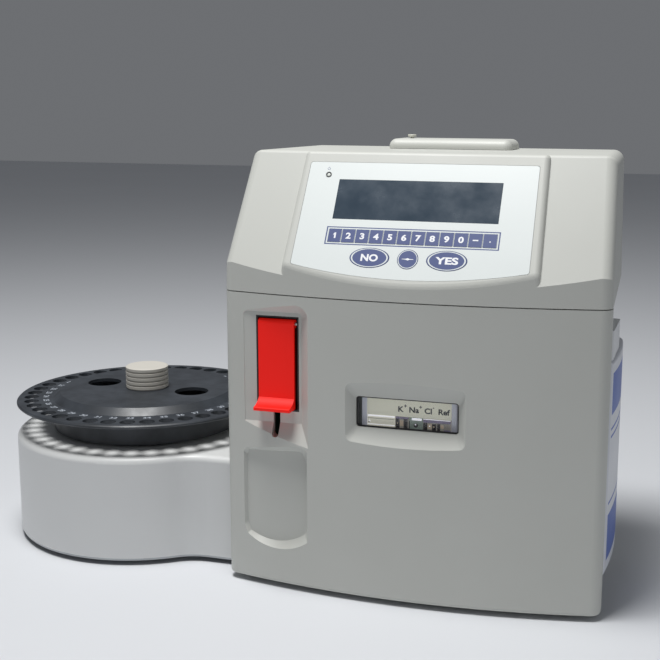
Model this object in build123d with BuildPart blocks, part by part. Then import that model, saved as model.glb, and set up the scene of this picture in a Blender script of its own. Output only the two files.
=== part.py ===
"""Bench-top electrolyte analyzer with a forty-place tray sampler on its left.

The main unit has a bowed front casing and a sloped hood with a keypad and a
display.  All sizes are in millimetres.  +Z is up, +X runs to the right along
the front and +Y runs into the depth.  The origin is the middle of the ground
area that the whole object covers, on the bench.
"""
from build123d import *
from math import cos, radians, sin, tan
import os

os.makedirs("parts", exist_ok=True)

# Main unit: overall sizes
half_width = 150.0            # middle of the front to a front corner
front_bow = 17.0              # how far the front bulges ahead of its corners
unit_depth = 190.0            # front corners to the rear wall
back_half_width = 140.5       # half width at the rear wall
foot_height = 4.0
casing_height = 232.6
seam_gap = 0.8                # shadow line between casing and hood
hood_height = 106.6
wall = 3.0                    # moulded walls
sheet = 2.0                   # folded sheet walls
casing_depth = 14.0           # how far the casing runs back past its corners
corner_radius = 9.0
rim_radius = 3.0
panel_gap = 0.3               # between pieces that are screwed together

casing_bottom = foot_height
casing_top = casing_bottom + casing_height
hood_bottom = casing_top + seam_gap
hood_top = hood_bottom + hood_height
floor_top = foot_height + sheet

# Hood: slopes and raised console
slope = 32.0                  # of the sloped faces, from upright
side_draft = 1.0
brow_radius = 4.0             # of the slopes' upper edge and the console's sides
wing_bow = 8.0                # bow of the side wings over the full width
wing_front = -12.8            # middle of the wing surface, before the corners
wing_start = 15.5             # height above the rim where wing_front is taken
console_front = -16.5
console_start = 12.6
console_foot_half = 98.0
console_head_half = 95.0
console_length = 130.0
console_smile = 5.9           # rise of the console's lower edge at its ends
console_drop = 3.0            # of the console's face below its start
lip_radius = 8.0              # of the console's lower edge

# Display and keypad, along the slope from the console's lower edge
overlay_foot_half = 90.8
overlay_head_half = 89.6
overlay_low = 4.3
overlay_side_low = 13.9
overlay_high = 101.5
overlay_corner = 2.0
overlay_thick = 0.5
circuit_thick = 1.1
overlay_gap = 0.25
display_half_width = 64.0
display_low = 52.6
display_height = 34.0
display_depth = 8.0
board_half_width = 86.0
board_height = 60.0
board_thick = 1.6
key_row_middle = 38.6
key_pitch = 10.85
key_width = 10.2
key_height = 11.0
key_labels = ["1", "2", "3", "4", "5", "6", "7", "8", "9", "0", "minus", "point"]
oval_width = 30.0
oval_height = 16.0
oval_offset = 29.5
oval_middle = 21.2
round_key_radius = 7.8
key_corner = 0.8
key_gap = 0.2
key_travel = 0.4
key_rise = 0.25
led_place = (-73.5, 90.5)
led_radius = 1.5

# Printer under a lift-up cover on the hood
cover_half_width = 52.5
cover_front = 124.0
cover_depth = 45.0
cover_height = 8.0
cover_radius = 6.5
cover_wall = 2.0
cover_gap = 0.3
hatch_half_width = 31.0
hatch_front = 128.0
hatch_depth = 37.0
hinge_setback = 3.5
hinge_radius = 2.8
hinge_pin_radius = 1.5
hinge_offset = 28.0
knuckle_width = 9.0
lug_width = 4.0
running_gap = 0.05
side_gap = 0.3
knob_place = (-37.0, 146.0)
knob_head_radius = 3.6
knob_stem_radius = 1.6
knob_head = 1.8
knob_stem = 1.4
roll_radius = 16.0
roll_width = 57.0
roll_core_radius = 6.0
roll_drop = 19.0
roll_y = 147.0
platen_radius = 5.0
platen_axle_radius = 2.0
platen_drop = 12.0
platen_y = 123.0
cheek_thick = 2.0
printer_depth = 42.0

# Sampling flap and probe
recess_left = -131.5          # edges of the recess floor
recess_right = -84.5
recess_floor = -3.5
recess_bevel = 43.0           # of the recess walls
recess_ramp_angle = 29.0      # of the ramp below the floor, from upright
recess_ramp_gap = 9.5         # floor left below the flap opening
recess_corner = 3.0
flap_opening_left = -121.5
flap_opening_width = 35.0
flap_opening_height = 75.0
flap_opening_drop = 17.1      # of the opening's top below the casing's top
recess_headroom = 3.0         # floor left above the flap opening
flap_box_wall = 1.2
flap_box_depth = 22.0
flap_width = 29.4
flap_left_gap = 0.6
flap_thick = 2.4
flap_barrel_radius = 3.3
flap_pin_radius = 1.5
flap_head_gap = 1.4
flap_lip_reach = 11.6
flap_lip_drop = 5.6
flap_lip_thick = 3.0
flap_foot_gap = 1.6
flap_proud = 0.8
probe_radius = 1.0
probe_setback = 8.5
probe_reach = 17.0            # of the tip below the flap opening
probe_block_width = 8.0
probe_block_height = 48.0
slot_width = 5.6
slot_reach = 20.5             # of the slot below the flap opening
slot_overlap = 6.0            # of the slot into the flap opening
slot_middle = -105.0

# Scoop below the flap
scoop_middle = -107.2
scoop_half_width = 30.0
scoop_gap = 28.8              # from the scoop's top to the flap opening
scoop_left_low = 45.0          # heights of the lower edge at its ends and middle
scoop_right_low = 50.0
scoop_low = 33.0
scoop_corner = 6.0
scoop_floor_left = -0.5       # depth of the floor at its left and right ends
scoop_floor_right = -5.3
scoop_bevel = 38.0

# Window on the electrodes
window_middle = 1.5
window_half_width = 40.0
window_low = 138.5
window_high = 162.5
window_depth = 8.0
window_frame_side = 8.2
window_frame_low = 12.0
window_frame_high = 13.5
window_corner = 2.5
window_frame_corner = 7.0
pane_thick = 2.0
pane_margin = 4.0
label_setback = 4.5
label_thick = 1.0
electrode_pitch = 10.9
electrode_width = 10.6
electrode_drop = 3.0          # of the cells' lower side below the window's edge
electrode_height = 11.0
electrode_depth = 11.0
electrode_bore_radius = 1.5
first_electrode = -4.7
rack_left = -36.2
rack_right = 38.0
rack_post = 3.8
rack_rise = 3.8               # of the rack above the window's upper edge
rack_shelf = 4.0
rack_foot = 16.0
label_arm = 8.0
label_inset = 4.0

# Pump behind the casing
pump_x = 78.0
pump_z = 78.0
pump_plate_half_width = 26.0
pump_plate_height = 110.0
pump_motor_radius = 18.0
pump_motor_length = 42.0
rotor_radius = 14.0
rotor_thick = 10.0
rotor_shaft_radius = 2.5
roller_radius = 4.0
tube_radius = 1.8
tube_gap = 0.4

# Side and rear walls, boards
left_wall = -140.0
right_wall = 126.0
rear_setback = 2.0
rim_land = 1.0
main_board_size = (130.0, 150.0)
main_board_y = 40.0
main_board_z = 30.0
standoff = 8.0
chip_places = [(40.0, 50.0), (40.0, 100.0)]
chip_side = 30.0
relay_place = (90.0, 40.0)
relay_size = (20.0, 50.0)
socket_place = (90.0, 110.0)
socket_size = (36.0, 14.0)
component_height = 3.0
supply_size = (86.0, 70.0, 50.0)
supply_x = 22.0
inlet_x = 60.0
inlet_z = 40.0
inlet_size = (28.0, 20.0)
inlet_flange = (48.0, 26.0)
inlet_depth = 16.0
switch_x = 105.0
switch_size = (14.0, 22.0)
rocker_setback = 5.0
rocker_ear = 3.0
rocker_pin_radius = 1.2
vent_place = (-60.0, 150.0)
vent_count = 8
vent_pitch = 7.0
vent_length = 40.0

# Reagent pack in the bay on the right side
pack_gap = 0.6
pack_face = 149.8
pack_bulge = 2.4
pack_front_gap = 1.2
pack_depth = 95.0
pack_bottom = 30.0
pack_headroom = 41.4          # of the pack's shoulder below the hood
pack_radius = 3.0
pack_bottom_radius = 14.0
fitting_clearance = 7.4
nozzle_length = 10.0
fitting_depth = 54.0
fitting_thick = 18.0
nozzle_radius = 3.0
nozzle_count = 4
nozzle_pitch = 12.0
peg_radius = 4.0
peg_length = 5.0
peg_gap = 0.3
peg_heights = (70.0, 160.0)

# Tray sampler
sampler_x = -274.0            # tray axis, from the middle of the unit's front
sampler_y = 106.0
housing_radius = 115.0
housing_height = 88.5
housing_edge_radius = 5.0
base_inset = 1.0              # of the sampler's floor from its outer face
neck_front_reach = 83.0
neck_rear_reach = 79.0
neck_flare = 42.0
drum_gap = 2.2
rim_outer_radius = 114.5
rim_thick = 3.0
drum_radius = 83.0
drum_height = 22.6
dome_radius = 77.0
dome_rise = 5.5
tray_wall = 3.0
cup_count = 40
cup_ring_radius = 102.0
cup_radius = 6.5
grip_radius = 15.0
grip_ring_radius = 46.0
grip_angle = -5.0
hub_radius = 13.0
tray_knob_radius = 19.0
tray_knob_height = 20.0
tray_knob_rings = 5
tray_knob_groove = 1.2
spindle_radius = 6.0
collar_radius = 10.0
bearing_height = 20.0
gear_module = 2.0
gear_teeth = 40
pinion_teeth = 10
gear_thick = 6.0
gear_lift = 56.0
gear_play = 0.35
motor_side = 42.0
motor_height = 42.0
motor_shaft_radius = 2.5
foot_radius = 7.0

# The unit stands so that the origin is the middle of the whole ground area
right_reach = pack_face + pack_bulge
left_reach = housing_radius - sampler_x
unit_x = (left_reach - right_reach) / 2
unit_y = (front_bow - sampler_y - housing_radius) / 2

slope_sin = sin(radians(slope))
slope_cos = cos(radians(slope))


# Reference planes, all measured from the middle of the unit's front
def level(z, x=0.0, y=0.0):
    """Level plane at height z."""
    return Plane(origin=(unit_x + x, unit_y + y, z))


def facing(y, x=0.0, z=0.0):
    """Upright plane across the unit at depth y, with its normal to the front."""
    return Plane(origin=(unit_x + x, unit_y + y, z), x_dir=(1, 0, 0), z_dir=(0, -1, 0))


def sideways(x, y=0.0, z=0.0):
    """Upright plane along the depth at x, with its normal to the right."""
    return Plane(origin=(unit_x + x, unit_y + y, z), x_dir=(0, 1, 0), z_dir=(1, 0, 0))


console_plane = Plane(
    origin=(unit_x, unit_y + console_front, hood_bottom + console_start),
    x_dir=(1, 0, 0),
    z_dir=(0, -slope_cos, slope_sin),
)


def unit_half_width(y):
    """Half width of casing and hood at depth y behind the front corners."""
    return half_width + (back_half_width - half_width) * y / unit_depth


def bowed_face(inset, back_y):
    """Plan of casing and hood: bowed front, straight sides, flat back."""
    half = unit_half_width(inset) - inset
    back_half = unit_half_width(back_y) - inset
    with BuildSketch() as face:
        with BuildLine():
            ThreePointArc((-half, inset), (0, inset - front_bow), (half, inset))
            Polyline((half, inset), (back_half, back_y), (-back_half, back_y), (-half, inset))
        make_face()
    return face.sketch


def block(plane, left, right, low, high, depth):
    """Rectangular block drawn on a plane and extruded along its normal."""
    with BuildPart() as solid:
        with BuildSketch(plane):
            with Locations(((left + right) / 2, (low + high) / 2)):
                Rectangle(right - left, high - low)
        extrude(amount=depth)
    return solid.part


def upright_edges(part):
    """Edges that run nearly straight up."""
    return part.edges().filter_by(lambda edge: abs(edge.tangent_at(0.5).Z) > 0.95)


flap_opening_top = casing_top - flap_opening_drop
flap_opening_bottom = flap_opening_top - flap_opening_height
recess_top = flap_opening_top + recess_headroom
recess_ramp_top = flap_opening_bottom - recess_ramp_gap
scoop_top = flap_opening_bottom - scoop_gap

# Rubber feet under both units
main_feet = [(-125, 32), (108, 32), (-125, 170), (108, 170)]
sampler_feet_radius = 92.0
with BuildPart() as rubber_feet:
    with BuildSketch(level(0)):
        with Locations(*main_feet):
            Circle(foot_radius)
    with BuildSketch(level(0, sampler_x, sampler_y)):
        with PolarLocations(sampler_feet_radius, 3, start_angle=210):
            Circle(foot_radius)
    extrude(amount=foot_height)
    chamfer(rubber_feet.faces().filter_by(Axis.Z).group_by(Axis.Z)[0].edges(), 0.8)
rubber_feet.part.label = "rubber_feet"
export_step(rubber_feet.part, "parts/rubber_feet.step")

# Base plate of the main unit
wall_front = casing_depth
rear_face = unit_depth - rear_setback
rocker_axis_y = rear_face - rocker_setback
with BuildPart() as base_plate:
    with BuildSketch(level(foot_height)):
        with BuildLine():
            Polyline(
                (left_wall, wall_front),
                (right_wall, wall_front),
                (right_wall, rear_face),
                (left_wall, rear_face),
                close=True,
            )
        make_face()
    extrude(amount=sheet)
base_plate.part.label = "base_plate"
export_step(base_plate.part, "parts/base_plate.step")


# Folded side walls: each has a front flange and a ledge that carries the hood
def side_wall(face_x, side):
    """Folded wall whose outer face is at face_x on the given side, +1 or -1."""
    inner = face_x - side * sheet
    front_edge = side * (unit_half_width(wall_front) - rim_land)
    back_edge = side * (unit_half_width(rear_face) - rim_land)
    with BuildPart() as folded:
        with BuildSketch(level(floor_top)):
            with BuildLine():
                Polyline(
                    (inner, rear_face - sheet),
                    (inner, wall_front),
                    (front_edge, wall_front),
                    (front_edge, wall_front + sheet),
                    (face_x, wall_front + sheet),
                    (face_x, rear_face - sheet),
                    close=True,
                )
            make_face()
        extrude(amount=hood_bottom - floor_top)
        with BuildSketch(level(hood_bottom - sheet)):
            with BuildLine():
                Polyline(
                    (inner, wall_front),
                    (front_edge, wall_front),
                    (back_edge, rear_face - sheet),
                    (inner, rear_face - sheet),
                    close=True,
                )
            make_face()
        extrude(amount=sheet)
    return folded.part


with BuildPart() as left_panel:
    add(side_wall(left_wall, -1))
left_panel.part.label = "left_panel"
export_step(left_panel.part, "parts/left_panel.step")

peg_y = wall_front + sheet + pack_front_gap + pack_depth / 2
with BuildPart() as right_panel:
    add(side_wall(right_wall, 1))
    with BuildSketch(sideways(right_wall)):
        with Locations(*[(peg_y, height) for height in peg_heights]):
            Circle(peg_radius)
    extrude(amount=peg_length)
right_panel.part.label = "right_panel"
export_step(right_panel.part, "parts/right_panel.step")

# Rear wall with its cut-outs and air slots
with BuildPart() as rear_panel:
    add(block(facing(rear_face), left_wall, right_wall, floor_top, hood_bottom, sheet))
    with BuildSketch(facing(rear_face)):
        with Locations((inlet_x, inlet_z)):
            Rectangle(inlet_size[0] + 2 * panel_gap, inlet_size[1] + 2 * panel_gap)
        with Locations((switch_x, inlet_z)):
            Rectangle(switch_size[0] + 4 * panel_gap, switch_size[1] + 4 * panel_gap)
        with Locations(vent_place):
            with GridLocations(vent_pitch, 0, vent_count, 1):
                SlotOverall(vent_length, 3, rotation=90)
    extrude(amount=-sheet, both=True, mode=Mode.SUBTRACT)
    for side in (-1, 1):
        ear_left = switch_x + side * (switch_size[0] / 2 + 2 * panel_gap + sheet / 2) - sheet / 2
        with BuildSketch(sideways(ear_left)):
            with Locations((rocker_axis_y, inlet_z)):
                Circle(rocker_ear)
            with Locations(((rocker_axis_y + rear_face - sheet) / 2, inlet_z)):
                Rectangle(rear_face - sheet - rocker_axis_y, 2 * rocker_ear)
        extrude(amount=sheet)
    with BuildSketch(sideways(switch_x - switch_size[0])):
        with Locations((rocker_axis_y, inlet_z)):
            Circle(rocker_pin_radius + running_gap)
    extrude(amount=2 * switch_size[0], mode=Mode.SUBTRACT)
rear_panel.part.label = "rear_panel"
export_step(rear_panel.part, "parts/rear_panel.step")


# Front casing: bowed shell with a flap recess, a scoop and a window funnel
def casing_tub(left, right, low, high, back_y):
    """Backing behind a recess, as deep as back_y and no wider than the casing."""
    with BuildPart() as tub:
        with BuildSketch(level(low)):
            add(bowed_face(wall / 2, casing_depth))
        extrude(amount=high - low)
        add(block(facing(back_y), left, right, low, high, 100), mode=Mode.INTERSECT)
    return tub.part


def flap_recess():
    """Bevelled recess with a flat floor that runs out over a ramp."""
    ahead = 40.0
    low = scoop_low
    ramp_drop = ahead / tan(radians(recess_ramp_angle))
    with BuildPart() as recess:
        with BuildSketch(facing(recess_floor)):
            with Locations(((recess_left + recess_right) / 2, (low + recess_top) / 2)):
                RectangleRounded(recess_right - recess_left, recess_top - low, recess_corner)
        extrude(amount=ahead, taper=-recess_bevel)
        with BuildSketch(sideways(recess_left - 2 * ahead)):
            with BuildLine():
                Polyline(
                    (recess_floor, recess_ramp_top),
                    (recess_floor, recess_top + 2 * ahead),
                    (recess_floor - ahead, recess_top + 2 * ahead),
                    (recess_floor - ahead, recess_ramp_top - ramp_drop),
                    close=True,
                )
            make_face()
        extrude(amount=recess_right - recess_left + 4 * ahead, mode=Mode.INTERSECT)
    return recess.part


def scoop():
    """Trough with a rounded lower end and bevelled walls; its floor leans to the left."""
    front_y = -front_bow * (1 - (scoop_middle / half_width) ** 2)
    ahead = 8.0
    grow = ahead * tan(radians(scoop_bevel))
    half = scoop_half_width + grow
    floor_left = (scoop_middle - scoop_half_width, scoop_floor_left)
    floor_right = (scoop_middle + scoop_half_width, scoop_floor_right)
    with BuildPart() as trough:
        with BuildSketch(facing(front_y - ahead, scoop_middle)) as outline:
            with BuildLine():
                ThreePointArc(
                    (-half, scoop_left_low - grow), (0, scoop_low - grow), (half, scoop_right_low - grow)
                )
                Polyline(
                    (half, scoop_right_low - grow),
                    (half, scoop_top + grow),
                    (-half, scoop_top + grow),
                    (-half, scoop_left_low - grow),
                )
            make_face()
            fillet(outline.vertices().sort_by(Axis.Z)[:2], scoop_corner + grow)
        extrude(amount=-3 * ahead, taper=scoop_bevel)
        with BuildSketch(level(0)):
            with BuildLine():
                Polyline(
                    floor_left,
                    floor_right,
                    (floor_right[0], front_y - 2 * ahead),
                    (floor_left[0], front_y - 2 * ahead),
                    close=True,
                )
            make_face()
        extrude(amount=casing_top, mode=Mode.INTERSECT)
    return trough.part


def window_funnel():
    """Tapering frame around the window, from the casing's face to the window."""
    ahead = 4.0
    floor_y = window_depth - front_bow
    grow = (window_depth + ahead) / window_depth
    low = window_low - window_frame_low * grow
    high = window_high + window_frame_high * grow
    half = window_half_width + window_frame_side * grow
    with BuildPart() as funnel:
        with BuildSketch(facing(-front_bow - ahead, window_middle)):
            with Locations((0, (low + high) / 2)):
                RectangleRounded(2 * half, high - low, window_frame_corner)
        with BuildSketch(facing(floor_y, window_middle)):
            with Locations((0, (window_low + window_high) / 2)):
                RectangleRounded(2 * window_half_width, window_high - window_low, window_corner)
        loft(ruled=True)
    return funnel.part


window_floor = window_depth - front_bow
window_back = window_floor + wall
with BuildPart() as front_casing:
    with BuildSketch(level(casing_bottom)):
        add(bowed_face(0, casing_depth))
    extrude(amount=casing_height)
    fillet(upright_edges(front_casing).sort_by(Axis.Y)[:2], corner_radius)
    fillet(front_casing.faces().sort_by(Axis.Z)[0].edges().filter_by(GeomType.CIRCLE), rim_radius)
    with BuildSketch(level(casing_bottom + wall)):
        add(bowed_face(wall, casing_depth + 1))
    extrude(amount=casing_height - 2 * wall, mode=Mode.SUBTRACT)
    add(casing_tub(recess_left - 2 * wall, recess_right + 3 * wall, scoop_top + 2,
                   recess_top + 2 * wall, recess_floor + wall))
    add(casing_tub(scoop_middle - scoop_half_width - wall, scoop_middle + scoop_half_width + 2 * wall,
                   scoop_low - wall, scoop_top + 2 + wall, scoop_floor_left + wall))
    add(casing_tub(window_middle - window_half_width - window_frame_side - wall,
                   window_middle + window_half_width + window_frame_side + wall,
                   window_low - window_frame_low - wall, window_high + window_frame_high + wall,
                   window_back))
    add(flap_recess(), mode=Mode.SUBTRACT)
    add(scoop(), mode=Mode.SUBTRACT)
    add(window_funnel(), mode=Mode.SUBTRACT)
    with BuildSketch(facing(0)):
        with Locations((flap_opening_left + flap_opening_width / 2,
                        flap_opening_bottom + flap_opening_height / 2)):
            Rectangle(flap_opening_width, flap_opening_height)
        with Locations((slot_middle, flap_opening_bottom + (slot_overlap - slot_reach) / 2)):
            SlotOverall(slot_reach + slot_overlap, slot_width, rotation=90)
    extrude(amount=40, both=True, mode=Mode.SUBTRACT)
    with BuildSketch(facing(0, window_middle)):
        with Locations((0, (window_low + window_high) / 2)):
            RectangleRounded(2 * window_half_width, window_high - window_low, window_corner)
    extrude(amount=40, both=True, mode=Mode.SUBTRACT)
front_casing.part.label = "front_casing"
export_step(front_casing.part, "parts/front_casing.step")


# Hood: bowed body under two sloped wings and a raised console
def outer_edges(form, low):
    """Edges of the side walls and the rear wall above height low."""
    return form.edges().filter_by(
        lambda edge: edge.center().Z > low + 1
        and (abs(edge.center().X - unit_x) > console_foot_half + 35
             or edge.center().Y > unit_y + unit_depth - 8)
    )


def hood_form(inset, low, lip_radius=0):
    """Form of the hood above height low, drawn in by inset, its lower lip rounded."""
    setback = inset / slope_cos
    reach = half_width + 30
    wing_y = wing_front + setback - (hood_bottom + wing_start - low) * slope_sin / slope_cos
    wing_end = wing_y + wing_bow * (reach / half_width) ** 2
    foot_half = console_foot_half - inset
    head_half = console_head_half - inset
    with BuildPart() as body:
        with BuildSketch(level(low)):
            add(bowed_face(inset, unit_depth - inset))
        extrude(amount=hood_top - inset - low, taper=side_draft)
    with BuildPart() as slopes:
        with BuildSketch(level(low)):
            with BuildLine():
                ThreePointArc((-reach, wing_end), (0, wing_y), (reach, wing_end))
                Polyline(
                    (reach, wing_end),
                    (reach, 2 * unit_depth),
                    (-reach, 2 * unit_depth),
                    (-reach, wing_end),
                )
            make_face()
        extrude(amount=unit_depth, dir=(0, slope_sin, slope_cos))
        with BuildSketch(console_plane.offset(-inset)):
            with BuildLine():
                middle_low = inset - console_drop
                side_low = middle_low + console_smile
                ThreePointArc((-foot_half, side_low), (0, middle_low), (foot_half, side_low))
                Polyline(
                    (foot_half, side_low),
                    (head_half, console_length),
                    (-head_half, console_length),
                    (-foot_half, side_low),
                )
            make_face()
        extrude(amount=-60, taper=-12)
    with BuildPart() as form:
        add(body.part)
        add(slopes.part, mode=Mode.INTERSECT)
        if lip_radius:
            fillet(form.edges().filter_by(GeomType.ELLIPSE), lip_radius)
        crown = form.faces().sort_by(Axis.Z)[-1]
        brow = crown.edges().filter_by(lambda edge: edge.center().Y < unit_y + unit_depth / 3)
        ridges = form.edges().filter_by(
            lambda edge: abs(console_plane.to_local_coords(edge.center()).Z + inset) < 0.1
            and abs(edge.center().X - unit_x) > console_head_half - inset
            and edge.length > console_length / 2
        )
        fillet(brow + ridges, brow_radius)
        fillet(outer_edges(form, low), corner_radius - inset)
    return form.part


def overlay_outline(margin):
    """Outline of the printed front film, grown by margin."""
    with BuildSketch() as outline:
        with BuildLine():
            ThreePointArc(
                (-overlay_foot_half - margin, overlay_side_low - margin),
                (0, overlay_low - margin),
                (overlay_foot_half + margin, overlay_side_low - margin),
            )
            Polyline(
                (overlay_foot_half + margin, overlay_side_low - margin),
                (overlay_head_half + margin, overlay_high + margin),
                (-overlay_head_half - margin, overlay_high + margin),
                (-overlay_foot_half - margin, overlay_side_low - margin),
            )
        make_face()
        fillet(outline.vertices(), overlay_corner)
    return outline.sketch


def key_row_x(index):
    """Place of a numbered key along the row."""
    return (index - (len(key_labels) - 1) / 2) * key_pitch


def key_outlines(margin):
    """Outlines of all keys, grown by margin."""
    with BuildSketch() as outlines:
        with Locations(*[(key_row_x(index), key_row_middle) for index in range(len(key_labels))]):
            RectangleRounded(key_width + 2 * margin, key_height + 2 * margin, key_corner)
        with Locations((-oval_offset, oval_middle), (oval_offset, oval_middle)):
            Ellipse(oval_width / 2 + margin, oval_height / 2 + margin)
        with Locations((0, oval_middle)):
            Circle(round_key_radius + margin)
    return outlines.sketch


def display_outline(margin):
    """Outline of the display, grown by margin."""
    with BuildSketch() as outline:
        with Locations((0, display_low + display_height / 2)):
            Rectangle(2 * (display_half_width + margin), display_height + 2 * margin)
    return outline.sketch


recess_depth = overlay_thick + circuit_thick
cover_z = hood_top + cover_gap
hinge_y = cover_front + cover_depth + hinge_setback
hinge_z = hood_top + hinge_radius + 1.2
with BuildPart() as top_cover:
    add(hood_form(0, hood_bottom, lip_radius))
    add(hood_form(wall, hood_bottom - wall), mode=Mode.SUBTRACT)
    with BuildSketch(console_plane.offset(-recess_depth)):
        add(overlay_outline(overlay_gap))
    extrude(amount=10, mode=Mode.SUBTRACT)
    with BuildSketch(console_plane.offset(-wall - 1)):
        add(display_outline(1))
        with Locations(led_place):
            Circle(led_radius + 2 * running_gap)
    extrude(amount=10, mode=Mode.SUBTRACT)
    with BuildSketch(level(hood_top - 2 * wall, 0, hatch_front + hatch_depth / 2)):
        Rectangle(2 * hatch_half_width, hatch_depth)
    extrude(amount=4 * wall, mode=Mode.SUBTRACT)
    for side in (-1, 1):
        for place in (-1, 1):
            lug_middle = side * hinge_offset + place * (knuckle_width / 2 + side_gap + lug_width / 2)
            with BuildSketch(sideways(lug_middle - lug_width / 2)):
                with Locations((hinge_y, hinge_z)):
                    Circle(hinge_radius)
                with Locations((hinge_y, (hinge_z + hood_top - 1) / 2)):
                    Rectangle(2 * hinge_radius, hinge_z - hood_top + 1)
            extrude(amount=lug_width)
    with BuildSketch(sideways(-hatch_half_width - 30)):
        with Locations((hinge_y, hinge_z)):
            Circle(hinge_pin_radius + running_gap)
    extrude(amount=2 * hatch_half_width + 60, mode=Mode.SUBTRACT)
top_cover.part.label = "top_cover"
export_step(top_cover.part, "parts/top_cover.step")

# Film, key circuit, display and status lamp
with BuildPart() as panel_overlay:
    with BuildSketch(console_plane.offset(-overlay_thick)):
        add(overlay_outline(0))
        add(key_outlines(key_gap), mode=Mode.SUBTRACT)
        add(display_outline(running_gap), mode=Mode.SUBTRACT)
        with Locations(led_place):
            Circle(led_radius + running_gap, mode=Mode.SUBTRACT)
    extrude(amount=overlay_thick)
panel_overlay.part.label = "panel_overlay"
export_step(panel_overlay.part, "parts/panel_overlay.step")

with BuildPart() as keypad_circuit:
    with BuildSketch(console_plane.offset(-recess_depth)):
        add(overlay_outline(-2))
        add(key_outlines(key_gap), mode=Mode.SUBTRACT)
        add(display_outline(1), mode=Mode.SUBTRACT)
        with Locations(led_place):
            Circle(led_radius + running_gap, mode=Mode.SUBTRACT)
    extrude(amount=circuit_thick)
keypad_circuit.part.label = "keypad_circuit"
export_step(keypad_circuit.part, "parts/keypad_circuit.step")

key_foot = recess_depth - key_travel - 2 * running_gap
key_depth = key_foot + key_rise
for index, label in enumerate(key_labels):
    with BuildPart() as number_key:
        with BuildSketch(console_plane.offset(-key_foot)):
            with Locations((key_row_x(index), key_row_middle)):
                RectangleRounded(key_width, key_height, key_corner)
        extrude(amount=key_depth)
    number_key.part.label = f"key_{label}"
    export_step(number_key.part, f"parts/key_{label}.step")

for name, place in (("no_key", -oval_offset), ("yes_key", oval_offset)):
    with BuildPart() as oval_key:
        with BuildSketch(console_plane.offset(-key_foot)):
            with Locations((place, oval_middle)):
                Ellipse(oval_width / 2, oval_height / 2)
        extrude(amount=key_depth)
    oval_key.part.label = name
    export_step(oval_key.part, f"parts/{name}.step")

with BuildPart() as round_key:
    with BuildSketch(console_plane.offset(-key_foot)):
        with Locations((0, oval_middle)):
            Circle(round_key_radius)
    extrude(amount=key_depth)
round_key.part.label = "round_key"
export_step(round_key.part, "parts/round_key.step")

with BuildPart() as display_window:
    with BuildSketch(console_plane.offset(-recess_depth)):
        add(display_outline(0))
    extrude(amount=recess_depth)
display_window.part.label = "display_window"
export_step(display_window.part, "parts/display_window.step")

display_back = wall + running_gap
with BuildPart() as display_module:
    with BuildSketch(console_plane.offset(-display_back - display_depth)):
        add(display_outline(6))
    extrude(amount=display_depth)
    with BuildSketch(console_plane.offset(-display_back)):
        add(display_outline(0.5))
    extrude(amount=display_back - recess_depth - running_gap)
    with BuildSketch(console_plane.offset(-display_back - display_depth - board_thick)):
        with Locations((0, display_low + display_height / 2)):
            Rectangle(2 * board_half_width, board_height)
            with GridLocations(2 * board_half_width - 8, board_height - 8, 2, 2):
                Circle(1.75, mode=Mode.SUBTRACT)
    extrude(amount=board_thick)
display_module.part.label = "display_module"
export_step(display_module.part, "parts/display_module.step")

with BuildPart() as power_led:
    with BuildSketch(console_plane.offset(-wall - 3)):
        with Locations(led_place):
            Circle(led_radius)
    extrude(amount=wall + 3)
    fillet(power_led.faces().sort_by(Axis.Y)[0].edges(), led_radius / 2)
    with BuildSketch(console_plane.offset(-wall - 3)):
        with Locations(led_place):
            Circle(led_radius + 1)
    extrude(amount=2.5)
power_led.part.label = "power_led"
export_step(power_led.part, "parts/power_led.step")

# Printer cover with its hinge knuckles and pull knob
with BuildPart() as printer_cover:
    with BuildSketch(level(cover_z, 0, cover_front + cover_depth / 2)):
        Rectangle(2 * cover_half_width, cover_depth)
    extrude(amount=cover_height)
    fillet(upright_edges(printer_cover), cover_radius)
    fillet(printer_cover.faces().sort_by(Axis.Z)[-1].edges(), cover_radius)
    with BuildSketch(level(cover_z, 0, cover_front + cover_depth / 2)):
        Rectangle(2 * (cover_half_width - cover_radius), cover_depth - 2 * cover_radius)
    extrude(amount=cover_height - cover_wall, mode=Mode.SUBTRACT)
    for side in (-1, 1):
        knuckle_left = side * hinge_offset - knuckle_width / 2
        with BuildSketch(sideways(knuckle_left)):
            with Locations((hinge_y, hinge_z)):
                Circle(hinge_radius)
            with Locations(((hinge_y + cover_front + cover_depth - 3) / 2, hinge_z + 0.6)):
                Rectangle(hinge_y - cover_front - cover_depth + 3, 2 * hinge_radius - 1.2)
        extrude(amount=knuckle_width)
        pin_overhang = side_gap + lug_width
        with BuildSketch(sideways(knuckle_left - pin_overhang)):
            with Locations((hinge_y, hinge_z)):
                Circle(hinge_pin_radius)
        extrude(amount=knuckle_width + 2 * pin_overhang)
printer_cover.part.label = "printer_cover"
export_step(printer_cover.part, "parts/printer_cover.step")

cover_top = cover_z + cover_height
with BuildPart() as cover_knob:
    with BuildSketch(level(cover_top, *knob_place)):
        Circle(knob_stem_radius)
    extrude(amount=knob_stem)
    with BuildSketch(level(cover_top + knob_stem, *knob_place)):
        Circle(knob_head_radius)
    extrude(amount=knob_head)
    fillet(cover_knob.faces().sort_by(Axis.Z)[-1].edges(), 0.5)
cover_knob.part.label = "cover_knob"
export_step(cover_knob.part, "parts/cover_knob.step")

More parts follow.
